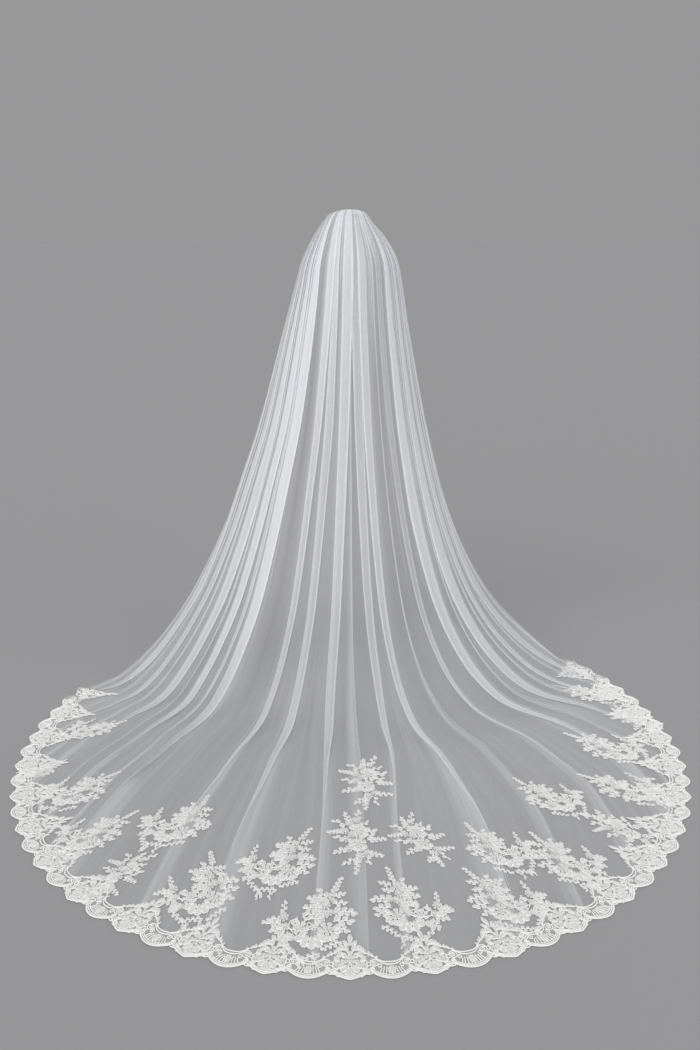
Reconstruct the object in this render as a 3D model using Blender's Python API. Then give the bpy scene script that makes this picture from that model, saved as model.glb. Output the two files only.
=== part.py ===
"""Bridal veil of cathedral length: one tier of tulle gathered on a hair comb,
with a scalloped lace border round its train and lace sprays sewn on it.

Frame: metres, +Z up.  The origin is the middle of the comb, where the hair
holds the veil.  The wearer would face +Y, so the train runs out towards -Y and
lies on the floor 1.68 m below the comb.  Left means -X, right means +X.
"""
import math

import bmesh
import bpy
import numpy as np
from mathutils.geometry import delaunay_2d_cdt

# Driving sizes, in metres.
COMB_HEIGHT = 1.682          # comb above the floor
WALL = 0.0014                # thickness of the tulle wall
LACE = 0.0014                # thickness of the sewn lace
SEAM = 0.0003                # gap kept between pieces that touch
HEM_OVERHANG = 0.027         # how far the lace scallops stand out past the tulle

# Each section of the veil is a horseshoe round the wearer's back, seen from above:
# an ellipse that opens to the front.  z is the height above the floor, at the centre
# back and at the two side edges.  lift_from is where, from 0 at the centre back to 1
# at a side edge, the cloth starts to rise from z_back.  gather is the depth of the
# gathers and fold the share that each fold has of its full height.
SECTION_COLUMNS = ("centre_y", "reach", "half_left", "half_right", "wrap_left", "wrap_right",
                   "z_back", "z_left", "z_right", "lift_from", "gather", "fold")
SECTIONS = (
    # sewn flat on the bent comb, then the puff above it
    (0.0900, 0.0900, 0.0900, 0.0900, 32, 32, 1.6795, 1.6795, 1.6795, 0.0, 0.0004, 0.00),
    (0.0900, 0.0900, 0.0900, 0.0900, 32, 32, 1.688, 1.688, 1.688, 0.0, 0.0004, 0.00),
    (0.0160, 0.0290, 0.0540, 0.0530, 84, 84, 1.699, 1.694, 1.694, 0.0, 0.0008, 0.00),
    (0.0080, 0.0520, 0.0680, 0.0650, 94, 94, 1.690, 1.684, 1.684, 0.0, 0.0014, 0.00),
    # back of the head
    (0.0080, 0.0880, 0.0900, 0.0850, 99, 99, 1.655, 1.650, 1.650, 0.0, 0.0026, 0.00),
    (0.0150, 0.1300, 0.1240, 0.1160, 100, 100, 1.592, 1.596, 1.600, 0.0, 0.0040, 0.00),
    (0.0200, 0.1620, 0.1640, 0.1580, 100, 100, 1.510, 1.515, 1.520, 0.0, 0.0050, 0.05),
    # shoulders and back
    (0.0200, 0.1780, 0.1910, 0.1820, 98, 98, 1.405, 1.410, 1.415, 0.0, 0.0060, 0.10),
    (0.0150, 0.1900, 0.2380, 0.2120, 95, 95, 1.270, 1.280, 1.280, 0.0, 0.0060, 0.20),
    (0.0000, 0.1980, 0.3020, 0.2540, 92, 92, 1.090, 1.100, 1.100, 0.0, 0.0060, 0.35),
    (-0.0200, 0.2050, 0.3800, 0.3050, 90, 90, 0.890, 0.900, 0.900, 0.0, 0.0050, 0.50),
    # over the spread of the skirt
    (-0.0500, 0.2150, 0.4580, 0.3520, 90, 90, 0.690, 0.710, 0.710, 0.0, 0.0040, 0.65),
    (-0.0900, 0.2450, 0.5350, 0.4040, 90, 90, 0.490, 0.530, 0.530, 0.0, 0.0020, 0.80),
    (-0.1400, 0.3000, 0.6000, 0.4600, 90, 90, 0.310, 0.385, 0.385, 0.1, 0.0000, 0.95),
    (-0.2000, 0.3700, 0.6660, 0.5320, 92, 92, 0.175, 0.270, 0.270, 0.2, 0.0000, 1.00),
    (-0.2700, 0.4500, 0.7300, 0.6100, 94, 96, 0.085, 0.185, 0.190, 0.3, 0.0000, 1.00),
    (-0.3500, 0.5300, 0.7950, 0.7000, 96, 104, 0.025, 0.110, 0.115, 0.5, 0.0000, 1.00),
    # the train on the floor
    (-0.4400, 0.5800, 0.8600, 0.8050, 100, 113.0, 0.000, 0.055, 0.050, 0.92, 0.0000, 1.00),
    (-0.5500, 0.7000, 0.9350, 0.8820, 104, 118.6, 0.000, 0.025, 0.020, 0.93, 0.0000, 0.65),
    (-0.6600, 0.8400, 0.9850, 0.9300, 108, 122.5, 0.000, 0.000, 0.000, 0.90, 0.0000, 0.25),
    (-0.9300, 1.1630, 1.0470, 1.0500, 112, 126, 0.000, 0.000, 0.000, 0.90, 0.0000, 0.00),
)

# One row for each gather at the comb, which runs on down the veil as a fold.
# at: from -1 at the left edge to 1 at the right edge.  height and half_width: the
# fold at its fullest.  lean: how far its crest falls over sideways.  ends: the last
# section that it reaches.
FOLD_COLUMNS = ("at", "height", "half_width", "lean", "ends")
FOLDS = (
    (-0.965, 0.012, 0.010, 0.004, 16),
    (-0.900, 0.024, 0.016, 0.008, 16),
    (-0.840, 0.010, 0.010, 0.002, 16),
    (-0.775, 0.022, 0.015, 0.007, 17),
    (-0.705, 0.011, 0.010, 0.003, 16),
    (-0.640, 0.020, 0.014, 0.006, 17),
    (-0.575, 0.009, 0.010, 0.002, 16),
    (-0.505, 0.013, 0.011, 0.004, 17),
    (-0.440, 0.018, 0.013, 0.006, 17),
    (-0.380, 0.008, 0.009, 0.002, 16),
    (-0.325, 0.016, 0.012, 0.005, 19),
    (-0.265, 0.008, 0.009, 0.002, 16),
    (-0.205, 0.017, 0.013, 0.005, 18),
    (-0.130, 0.008, 0.009, 0.002, 16),
    (-0.060, 0.013, 0.010, 0.003, 19),
    (0.020, 0.007, 0.008, -0.002, 15),
    (0.092, 0.014, 0.011, -0.004, 18),
    (0.155, 0.008, 0.009, -0.002, 16),
    (0.215, 0.015, 0.012, -0.004, 19),
    (0.275, 0.008, 0.009, -0.002, 16),
    (0.335, 0.017, 0.013, -0.005, 18),
    (0.410, 0.012, 0.011, -0.004, 17),
    (0.480, 0.018, 0.013, -0.006, 17),
    (0.560, 0.010, 0.010, -0.003, 16),
    (0.640, 0.020, 0.014, -0.006, 17),
    (0.725, 0.012, 0.011, -0.004, 16),
    (0.815, 0.022, 0.015, -0.007, 16),
    (0.915, 0.012, 0.010, -0.004, 16),
)
FADE_SECTIONS = 3            # a fold dies away over its last sections
FOOT_ROOM = 0.28             # share of the way to its neighbour that a fold's foot may take

# Lace border.  One repeat holds a flower fan and a shallow scallop between two fans.
REPEAT = 0.197
SCALLOP_DEPTH = 0.026        # of the outer scallops, two in each repeat
SCALLOP_SHAPE = (1.0, 0.22, 0.0, 0.22)     # share of that depth, from notch to notch
# inner edge: place along half a repeat, 0 at the fan and 0.5 at the dip, and depth
BORDER_INNER = ((0.00, 0.172), (0.06, 0.138), (0.13, 0.146), (0.19, 0.108), (0.29, 0.092),
                (0.40, 0.064), (0.50, 0.058))
# cut gaps: place along half a repeat, depth, half length, half width
BORDER_GAPS = ((0.10, 0.072, 0.011, 0.0050), (0.29, 0.056, 0.008, 0.0060),
               (0.43, 0.034, 0.009, 0.0030))
# raised flower centres: place along half a repeat, depth, height
BORDER_CRESTS = ((0.00, 0.100, 0.0016), (0.00, 0.050, 0.0014), (0.18, 0.050, 0.0010))
LACE_CLEARANCE = 0.004       # kept free in plan between the border and the sprays
LEAF_ROOM = 0.018            # length of border that makes way for each leaf tip
END_STRETCH = 0.10           # stretch at each end of the border that has no fan
END_DEPTH = 0.010            # depth of the outer edge where the border ends
END_MARGIN = 0.004           # nothing of the repeat lies nearer to an end than this
LEAST_RIM = 0.003            # lace left round a cut gap
CREST_ROOM = 0.012           # lace left round a raised flower centre

# Lace sprays.  The spine of each kind from its tip, and how far its leaves reach from
# it on the inner side of its bend and on the outer side.
SPINE_COLUMNS = ("x", "y", "inner", "outer")
CRESCENT = ((0.055, 0.180, 0.003, 0.003), (0.050, 0.128, 0.032, 0.022),
            (0.042, 0.074, 0.046, 0.040), (0.034, 0.014, 0.040, 0.058),
            (0.014, -0.046, 0.028, 0.064), (-0.024, -0.090, 0.024, 0.072),
            (-0.064, -0.070, 0.026, 0.050), (-0.086, -0.022, 0.028, 0.030),
            (-0.092, 0.032, 0.003, 0.003))
SPRIG = ((0.000, 0.165, 0.003, 0.003), (0.004, 0.115, 0.036, 0.032),
         (-0.004, 0.065, 0.042, 0.048), (0.004, 0.012, 0.066, 0.058),
         (-0.002, -0.040, 0.056, 0.062), (-0.012, -0.088, 0.044, 0.044),
         (-0.006, -0.130, 0.024, 0.030), (0.004, -0.158, 0.003, 0.003))
LEAVES = 7                   # leaf tips down each side of a spray
LEAF_NOTCH = 0.50            # depth of the notches between leaves, as a share of their reach
LEAF_SWEEP = 0.30            # how far a leaf tip points on towards its end of the spray
SPRAY_CREST = 0.0022         # height of the flowers above the leaves, where widest
# cut gaps: place down the spine, side, half length, half width
SPRAY_GAPS = ((0.31, 1, 0.0065, 0.0038), (0.47, -1, 0.0065, 0.0040), (0.66, 1, 0.0060, 0.0036))
GAP_PLACE = 0.32             # place of a cut gap between the spine and the leaf tips
LEAST_SPRAY_WITH_GAPS = 0.65
# place of each spray on the floor, the turn of its tip away from the wearer, its size
# and the side that its long arm leans to (1 is right)
SPRAY_COLUMNS = ("kind", "x", "y", "turn", "size", "hand")
SPRAYS = (
    (CRESCENT, -0.870, -0.826, 50, 0.62, 1),
    (CRESCENT, -0.930, -1.085, 40, 0.46, 1),
    (CRESCENT, -0.818, -1.258, 18, 0.80, 1),
    (CRESCENT, -0.715, -1.490, 16, 0.74, 1),
    (CRESCENT, -0.510, -1.438, 14, 0.92, 1),
    (SPRIG, -0.595, -1.680, 30, 0.66, 1),
    (CRESCENT, -0.395, -1.767, -8, 0.92, 1),
    (CRESCENT, -0.204, -1.620, 4, 0.94, 1),
    (CRESCENT, -0.102, -1.880, -2, 0.94, 1),
    (SPRIG, 0.040, -1.196, 0, 0.98, 1),
    (SPRIG, 0.015, -1.520, -4, 0.86, 1),
    (SPRIG, 0.190, -1.520, -22, 0.84, 1),
    (CRESCENT, 0.165, -1.835, -6, 0.92, -1),
    (CRESCENT, 0.412, -1.560, 17, 0.86, -1),
    (CRESCENT, 0.400, -1.800, 12, 0.84, -1),
    (CRESCENT, 0.600, -1.299, 23, 0.84, -1),
    (CRESCENT, 0.612, -1.610, 9, 0.80, -1),
    (CRESCENT, 0.835, -1.235, 33, 0.78, -1),
    (SPRIG, 0.778, -1.455, -37, 0.66, 1),
    (CRESCENT, 0.862, -0.966, 30, 0.84, -1),
    (CRESCENT, 0.884, -0.580, 47, 0.50, -1),
    (SPRIG, 0.920, -0.755, -76, 0.50, 1),
)

# Comb under the gathers, and the ribbon that binds the gathered edge to it.
COMB_RADIUS = 0.090          # bend of the comb, to fit the head
COMB_LENGTH = 0.094
COMB_TEETH = 17
COMB_THICK = 0.0022
BAR_BOTTOM = -0.0025         # from the comb's middle
BAR_TOP = 0.0035
TOOTH_LENGTH = 0.038
TOOTH_WIDTH = 0.0026
TOOTH_LEAN = 0.35            # how far the teeth slope forward, for each metre down
BINDING_THICK = 0.0012
BINDING_TOP = 0.0045
BINDING_STEPS = 16           # facets along its bend


def named_columns(rows, names):
    """The rows of a table as one array for each named column."""
    return {name: np.array([row[i] for row in rows]) for i, name in enumerate(names)}


def plain_veil(section, at):
    """Point of the veil before its folds: `section` is a dict of one section's sizes,
    `at` runs from -1 (left edge) to 1 (right edge)."""
    half = np.where(at < 0, section["half_left"], section["half_right"])
    wrap = np.radians(np.where(at < 0, section["wrap_left"], section["wrap_right"]))
    edge = np.where(at < 0, section["z_left"], section["z_right"])
    rise = np.clip((np.abs(at) - section["lift_from"]) / (1.0 - section["lift_from"]), 0, 1)
    x = half * np.sin(wrap * at)
    y = section["centre_y"] - section["reach"] * np.cos(wrap * at)
    z = section["z_back"] + (edge - section["z_back"]) * rise ** 2 - COMB_HEIGHT
    return np.stack([x, y, z], axis=-1)


def fold_columns(section, folds, number):
    """Places of the grid's columns in one section, and how high each stands.

    Every fold has three columns, its two feet and its crest, and one more lies
    half-way to the next fold.  In the gathers the feet close up, to a quarter of
    the way to the neighbours."""
    step = 1e-3
    run = plain_veil(section, folds["at"] + step) - plain_veil(section, folds["at"] - step)
    metres = np.linalg.norm(run, axis=1) / (2 * step)
    between = np.diff(folds["at"], prepend=-1.0, append=1.0)
    room = np.minimum(between[:-1], between[1:]) * FOOT_ROOM
    foot = np.minimum(folds["half_width"] / metres, room)
    fade = np.clip((folds["ends"] - number) / FADE_SECTIONS, 0, 1)
    narrow = foot * metres / folds["half_width"]
    height = folds["height"] * section["fold"] * fade * fade * (3 - 2 * fade) * narrow
    height = np.maximum(height, section["gather"])
    lean = folds["lean"] / folds["height"] * height / metres
    middles = (folds["at"][:-1] + folds["at"][1:]) / 2
    at = [-1.0]
    lift = [0.0]
    for i in range(len(folds["at"])):
        at += [folds["at"][i] - foot[i], folds["at"][i] + lean[i], folds["at"][i] + foot[i]]
        lift += [0.0, height[i], 0.0]
        if i < len(middles):
            at.append(middles[i])
            lift.append(0.0)
    return np.array(at + [1.0]), np.array(lift + [0.0])


def veil_grid():
    """Inner points of the folded tulle and its outward normals, section by section."""
    folds = named_columns(FOLDS, FOLD_COLUMNS)
    plain = []
    lifts = []
    for number, row in enumerate(SECTIONS):
        section = dict(zip(SECTION_COLUMNS, row))
        at, lift = fold_columns(section, folds, number)
        plain.append(plain_veil(section, at))
        lifts.append(lift)
    plain = np.array(plain)
    folded = plain + outward(plain) * np.array(lifts)[..., None]
    folded[..., 2] = np.maximum(folded[..., 2], -COMB_HEIGHT)
    return folded, outward(folded)


def outward(grid):
    """Unit normals of a grid of points, pointing away from the wearer and up."""
    across = np.gradient(grid, axis=1)
    down = np.gradient(grid, axis=0)
    normal = np.cross(across, down)
    normal /= np.linalg.norm(normal, axis=-1, keepdims=True)
    return -normal


def closed_sheet(name, inner, outer, material):
    """Solid wall between two grids of points, closed round its four edges."""
    rows, columns = inner.shape[:2]
    index = np.arange(rows * columns).reshape(rows, columns)
    points = np.concatenate([inner.reshape(-1, 3), outer.reshape(-1, 3)])
    top = rows * columns
    faces = []
    for r in range(rows - 1):
        for c in range(columns - 1):
            a, b = int(index[r, c]), int(index[r, c + 1])
            d, e = int(index[r + 1, c]), int(index[r + 1, c + 1])
            faces.append((a, b, e, d))
            faces.append((a + top, d + top, e + top, b + top))
    rim = list(index[0, :]) + list(index[1:, -1]) + list(index[-1, -2::-1]) + list(index[-2:0:-1, 0])
    for a, b in zip(rim, rim[1:] + rim[:1]):
        faces.append((int(b), int(a), int(a) + top, int(b) + top))
    return add_object(name, points, faces, material)


def add_object(name, points, faces, material):
    """Mesh object from points and faces, its faces turned outwards."""
    mesh = bpy.data.meshes.new(name)
    mesh.from_pydata([tuple(map(float, p)) for p in points], [], faces)
    bm = bmesh.new()
    bm.from_mesh(mesh)
    bmesh.ops.triangulate(bm, faces=bm.faces[:])
    bmesh.ops.recalc_face_normals(bm, faces=bm.faces[:])
    bm.to_mesh(mesh)
    bm.free()
    mesh.shade_smooth()
    mesh.set_sharp_from_angle(angle=math.radians(40))
    mesh.materials.append(material)
    thing = bpy.data.objects.new(name, mesh)
    bpy.context.collection.objects.link(thing)
    return thing


def inside(points, loop):
    """Which plan points lie inside a closed loop, by counting the edges to their right."""
    x, y = np.asarray(points, float).T[:, :, None]
    (x0, y0), (x1, y1) = loop.T, np.roll(loop, -1, axis=0).T
    with np.errstate(divide="ignore", invalid="ignore"):
        crossing = x0 + (y - y0) / (y1 - y0) * (x1 - x0)
    return (((y0 > y) != (y1 > y)) & (x < crossing)).sum(axis=1) % 2 == 1


def distance(points, loop):
    """Distance of each plan point from the nearest edge of a closed loop."""
    a = loop[None]
    run = np.roll(loop, -1, axis=0)[None] - a
    to = np.asarray(points, float)[:, None] - a
    share = np.clip((to * run).sum(-1) / (run * run).sum(-1), 0, 1)
    return np.linalg.norm(to - share[..., None] * run, axis=-1).min(axis=1)


def plate(name, outline, gaps, crests, thick, place, material):
    """Solid plate cut to an outline, with gaps through it and a raised upper face.

    outline and gaps are loops of flat points (u, v), and crests are (u, v, height).
    place(u, v, w) carries them to the object, w being 0 at the plate's lower face."""
    loops = [np.array(loop, float) for loop in [outline] + gaps]
    edges = []
    start = 0
    for loop in loops:
        ring = [start + i for i in range(len(loop))]
        edges += list(zip(ring, ring[1:] + ring[:1]))
        start += len(loop)
    flat = np.concatenate(loops + [np.array([c[:2] for c in crests]).reshape(-1, 2)])
    height = np.concatenate([np.zeros(start), [c[2] for c in crests]]) + thick
    found = delaunay_2d_cdt([tuple(map(float, p)) for p in flat], edges, [], 0, 1e-9)
    source = [origin[0] for origin in found[3]]
    triangles = np.array([[source[i] for i in face] for face in found[2]])
    middles = flat[triangles].mean(axis=1)
    kept = inside(middles, loops[0])
    for loop in loops[1:]:
        kept &= ~inside(middles, loop)
    triangles = triangles[kept]
    top = len(flat)
    sides = {(int(t[i]), int(t[(i + 1) % 3])) for t in triangles for i in range(3)}
    faces = [(int(a), int(b), int(c)) for a, b, c in triangles]
    faces += [(a + top, c + top, b + top) for a, b, c in faces]
    faces += [(b, a, a + top, b + top) for a, b in sorted(sides) if (b, a) not in sides]
    points = np.concatenate([place(*flat.T, np.zeros(top)), place(*flat.T, height)])
    return add_object(name, points, faces, material)


def on_train(u, v, w):
    """Place of a flat lace piece: it lies on the tulle of the train."""
    return np.stack([u, v, w + WALL + SEAM - COMB_HEIGHT], axis=-1)


def hem_curve():
    """Hem of the tulle in plan, from left to right: points, directions along it and
    out of it, and length along it, which is 0 at the centre back."""
    section = dict(zip(SECTION_COLUMNS, SECTIONS[-1]))
    points = plain_veil(section, np.linspace(-1, 1, 801))[:, :2]
    along = np.gradient(points, axis=0)
    along /= np.linalg.norm(along, axis=1, keepdims=True)
    out = np.stack([along[:, 1], -along[:, 0]], axis=1)
    length = np.concatenate([[0], np.cumsum(np.linalg.norm(np.diff(points, axis=0), axis=1))])
    return points, along, out, length - length[len(length) // 2]


def on_hem(place, depth):
    """Plan points a length along the hem and a depth in from the scallops' outer line."""
    points, _, out, length = hem_curve()
    spot = np.stack([np.interp(place, length, points[:, i]) for i in (0, 1)], axis=-1)
    away = np.stack([np.interp(place, length, out[:, i]) for i in (0, 1)], axis=-1)
    return spot + away * (HEM_OVERHANG - np.asarray(depth, float))[..., None]


def from_hem(spots):
    """Place along the hem and depth in from the outer line of some plan points."""
    points, along, out, length = hem_curve()
    nearest = np.linalg.norm(spots[:, None] - points[None], axis=-1).argmin(axis=1)
    to = spots - points[nearest]
    return (length[nearest] + (to * along[nearest]).sum(-1),
            HEM_OVERHANG - (to * out[nearest]).sum(-1))


def mirrored(half_repeat):
    """Rows given for half a repeat, followed by their mirror images."""
    return list(half_repeat) + [(1 - row[0], *row[1:]) for row in half_repeat[::-1]
                                if 0 < row[0] < 0.5]


def along_border(rows):
    """Every copy of some rows along the border, as (place, values after the place)."""
    ends = hem_curve()[3][[0, -1]]
    first = math.floor(ends[0] / REPEAT)
    last = math.ceil(ends[1] / REPEAT)
    copies = [((k + row[0]) * REPEAT, row[1:]) for k in range(first, last) for row in rows]
    return [c for c in copies if ends[0] + END_MARGIN < c[0] < ends[1] - END_MARGIN]


def diamond(place, depth, half_length, half_width):
    """Corners of a small cut gap, longer across the band than along it."""
    return on_hem(np.array([place - half_width, place, place + half_width, place]),
                  np.array([depth, depth - half_length, depth, depth + half_length]))


def build_border(material, sprays):
    """Scalloped lace border round the whole hem, its inner leaves kept clear of the sprays."""
    ends = hem_curve()[3][[0, -1]]
    steps = len(SCALLOP_SHAPE)
    scallops = [(i / (2 * steps), SCALLOP_DEPTH * SCALLOP_SHAPE[(i + steps // 2) % steps])
                for i in range(2 * steps)]
    outer = [(p, rest[0]) for p, rest in along_border(scallops)]
    outer = [(ends[0], END_DEPTH)] + outer + [(ends[1], END_DEPTH)]
    leaf_place, leaf_depth = from_hem(np.concatenate([fine(loop) for loop in sprays]))
    dip = BORDER_INNER[-1][1]
    inner = [(ends[0], dip)]
    for spot, (depth,) in along_border(mirrored(BORDER_INNER)):
        if min(spot - ends[0], ends[1] - spot) < END_STRETCH:
            depth = dip
        near = np.abs(leaf_place - spot) < LEAF_ROOM
        limit = leaf_depth[near].min() - LACE_CLEARANCE if near.any() else depth
        inner.append((spot, min(depth, limit)))
    inner.append((ends[1], dip))
    both = np.array(outer + inner[::-1])
    outline = on_hem(both[:, 0], both[:, 1])
    gaps = [diamond(p, *sizes) for p, sizes in along_border(mirrored(BORDER_GAPS))]
    gaps = [g for g in gaps
            if inside(g, outline).all() and distance(g, outline).min() > LEAST_RIM]
    crests = []
    for spot, (depth, height) in along_border(mirrored(BORDER_CRESTS)):
        point = on_hem(np.array([spot]), np.array([depth]))
        if inside(point, outline)[0] and distance(point, outline)[0] > CREST_ROOM:
            crests.append((*point[0], height))
    plate("lace_border", outline, gaps, crests, LACE, on_train, material)


def fine(loop, step=0.004):
    """Points along a closed loop, no more than a step apart."""
    pieces = []
    for a, b in zip(loop, np.roll(loop, -1, axis=0)):
        count = max(1, math.ceil(np.linalg.norm(b - a) / step))
        pieces.append(a + (b - a) * np.arange(count)[:, None] / count)
    return np.concatenate(pieces)


def spray_frame(spray, points):
    """Plan points of a spray from points at its own full size: mirrored for its hand,
    turned so that its tip swings away from the wearer, and set in its place."""
    angle = -math.radians(spray["turn"]) * spray["hand"]
    x, y = (np.asarray(points, float) * (spray["hand"], 1) * spray["size"]).T
    return np.stack([spray["x"] + x * math.cos(angle) - y * math.sin(angle),
                     spray["y"] + x * math.sin(angle) + y * math.cos(angle)], axis=-1)


def spray_shape(spray):
    """Outline, cut gaps and raised crests of one spray, in plan.

    Leaf tips and notches take turns down one side of the spine and up the other."""
    spine = named_columns(spray["kind"], SPINE_COLUMNS)
    last = len(spray["kind"]) - 1
    station = np.linspace(0, last, 2 * LEAVES + 1)
    column = {name: np.interp(station, range(last + 1), spine[name]) for name in SPINE_COLUMNS}
    middle = np.stack([column["x"], column["y"]], axis=-1)
    along = np.gradient(middle, axis=0)
    along /= np.linalg.norm(along, axis=1, keepdims=True)
    inward = np.stack([along[:, 1], -along[:, 0]], axis=-1)
    is_leaf = np.arange(len(station)) % 2 == 1
    share = np.where(is_leaf, 1.0, LEAF_NOTCH)[:, None]
    sweep = along * np.where(is_leaf, LEAF_SWEEP * np.sign(station - last / 2), 0)[:, None]
    inner = middle + (inward + sweep) * share * column["inner"][:, None]
    outer = middle + (sweep - inward) * share * column["outer"][:, None]
    outline = np.concatenate([middle[:1], outer[1:-1], middle[-1:], inner[-2:0:-1]])
    gaps = []
    if spray["size"] > LEAST_SPRAY_WITH_GAPS:
        for place, hand, length, width in SPRAY_GAPS:
            i = round(place * (len(station) - 1))
            reach = column["inner" if hand > 0 else "outer"][i]
            spot = middle[i] + inward[i] * hand * reach * GAP_PLACE
            gaps.append(np.array([spot + along[i] * length, spot + inward[i] * width,
                                  spot - along[i] * length, spot - inward[i] * width]))
    raised = np.arange(2, len(station) - 2, 2)
    width = (column["inner"] + column["outer"])[raised]
    spots = spray_frame(spray, middle[raised])
    return (spray_frame(spray, outline), [spray_frame(spray, gap) for gap in gaps],
            [(*spot, SPRAY_CREST * w / width.max()) for spot, w in zip(spots, width)])


def build_sprays(material):
    """The lace sprays sewn on the train.  Returns their outlines."""
    outlines = []
    for number, row in enumerate(SPRAYS, 1):
        outline, gaps, crests = spray_shape(dict(zip(SPRAY_COLUMNS, row)))
        plate(f"lace_spray_{number:02d}", outline, gaps, crests, LACE, on_train, material)
        outlines.append(outline)
    return outlines


def on_comb(inset):
    """Place of a flat piece bent round the comb's curve, its back face `inset` in front
    of the tulle's own inner face."""
    def place(u, v, w):
        radius = COMB_RADIUS - inset + w
        angle = u / COMB_RADIUS
        lean = TOOTH_LEAN * np.maximum(BAR_BOTTOM - v, 0)
        return np.stack([radius * np.sin(angle),
                         COMB_RADIUS - radius * np.cos(angle) + lean, v], axis=-1)
    return place


def build_comb(material):
    """Hair comb, inside the turn of the tulle: a bent bar with tapered teeth that slope
    forward into the hair."""
    pitch = COMB_LENGTH / COMB_TEETH
    outline = []
    for tooth in range(COMB_TEETH):
        u = (tooth + 0.5) * pitch - COMB_LENGTH / 2
        root, tip = TOOTH_WIDTH / 2, TOOTH_WIDTH / 4
        bottom = BAR_BOTTOM - TOOTH_LENGTH
        outline += [(u - root, BAR_BOTTOM), (u - tip, bottom), (u + tip, bottom),
                    (u + root, BAR_BOTTOM)]
    outline.append((COMB_LENGTH / 2, BAR_BOTTOM))
    outline += [(COMB_LENGTH / 2 - i * pitch, BAR_TOP) for i in range(COMB_TEETH + 1)]
    outline.append((-COMB_LENGTH / 2, BAR_BOTTOM))
    plate("hair_comb", outline, [], [], COMB_THICK, on_comb(-SEAM), material)


def build_binding(material):
    """Narrow ribbon over the gathered edge, sewn through the tulle to the comb's bar."""
    across = [(i / BINDING_STEPS - 0.5) * COMB_LENGTH for i in range(BINDING_STEPS + 1)]
    outline = [(u, BAR_BOTTOM) for u in across] + [(u, BINDING_TOP) for u in across[::-1]]
    inset = WALL + SECTIONS[0][SECTION_COLUMNS.index("gather")] + SEAM + BINDING_THICK
    plate("comb_binding", outline, [], [], BINDING_THICK, on_comb(inset), material)


def build_tulle(material):
    """The tulle panel: a thin wall through all sections, with its gathers and folds."""
    inner, normal = veil_grid()
    return closed_sheet("tulle_panel", inner, inner + normal * WALL, material)


def cloth_material(name, colour, roughness):
    """Principled material of one finish."""
    material = bpy.data.materials.new(name)
    material.use_nodes = True
    shader = material.node_tree.nodes["Principled BSDF"]
    shader.inputs["Base Color"].default_value = (*colour, 1.0)
    shader.inputs["Roughness"].default_value = roughness
    shader.inputs["Metallic"].default_value = 0.0
    material.diffuse_color = (*colour, 1.0)
    return material


def clear_scene():
    """Empty the file of the objects it opened with."""
    for thing in list(bpy.data.objects):
        bpy.data.objects.remove(thing, do_unlink=True)


def main():
    clear_scene()
    lace = cloth_material("ivory_lace", (0.84, 0.83, 0.80), 0.75)
    build_tulle(cloth_material("white_tulle", (0.86, 0.87, 0.88), 0.8))
    outlines = build_sprays(lace)
    build_border(lace, outlines)
    build_comb(cloth_material("clear_comb", (0.80, 0.80, 0.78), 0.3))
    build_binding(cloth_material("satin_ribbon", (0.86, 0.86, 0.85), 0.5))


main()
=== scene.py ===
# %% [markdown]
# # A bridal veil, dressed for its portrait
# The imported model gives the sizes and places: a tulle panel, its lace border, the lace
# sprays on the train and the comb.  This script makes the fine surfaces round that
# frame.  It loads the frame first.

# %% Load the frame
import math

import bmesh
import bpy
import numpy as np
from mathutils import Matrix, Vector


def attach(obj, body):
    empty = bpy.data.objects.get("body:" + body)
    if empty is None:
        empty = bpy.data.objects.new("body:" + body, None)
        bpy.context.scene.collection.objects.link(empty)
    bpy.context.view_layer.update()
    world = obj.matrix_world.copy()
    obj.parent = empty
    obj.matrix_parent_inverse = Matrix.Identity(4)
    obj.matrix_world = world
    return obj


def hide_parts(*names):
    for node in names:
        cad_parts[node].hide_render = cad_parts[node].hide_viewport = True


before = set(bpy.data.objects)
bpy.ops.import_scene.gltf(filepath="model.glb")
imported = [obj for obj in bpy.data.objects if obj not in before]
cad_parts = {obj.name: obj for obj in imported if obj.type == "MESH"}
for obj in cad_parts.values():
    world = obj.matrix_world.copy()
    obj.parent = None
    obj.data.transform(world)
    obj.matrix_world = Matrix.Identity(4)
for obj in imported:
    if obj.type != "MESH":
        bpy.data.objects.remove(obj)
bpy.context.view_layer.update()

# %% [markdown]
# ## Camera
# The veil is seen from behind its wearer.  The eye is at standing height, a little above
# the comb, and looks down, so that the train opens out towards it.  All heights here are
# counted from the comb, which is the origin, so the floor is below zero.

# %% Camera
COMB_HEIGHT = 1.682          # comb above the floor, in metres as all sizes here
EYE_HEIGHT = 1.70
EYE_DISTANCE = 4.30
EYE_TILT = 15.75             # degrees below level
LENS = 38.3                  # in mm
SENSOR = 36                  # long side of the picture behind that lens, in mm


def added(name, data):
    """A new object in the scene, from the data of a camera, a lamp or a mesh."""
    thing = bpy.data.objects.new(name, data)
    bpy.context.collection.objects.link(thing)
    return thing


camera = added("camera", bpy.data.cameras.new("camera"))
camera.location = (0, -EYE_DISTANCE, EYE_HEIGHT - COMB_HEIGHT)
camera.rotation_euler = (math.radians(90 - EYE_TILT), 0, 0)
camera.data.lens = LENS
camera.data.sensor_width = SENSOR
bpy.context.scene.camera = camera
print("camera at", tuple(round(v, 3) for v in camera.location))

# %% [markdown]
# ## Shader maths as plain formulas
# A material is a graph of nodes, and a graph is hard to read.  So one small class wraps a
# socket and turns + - * / ** into Math nodes, and one method adds any other node.  A mask
# can then be written as it would be on paper.


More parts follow.
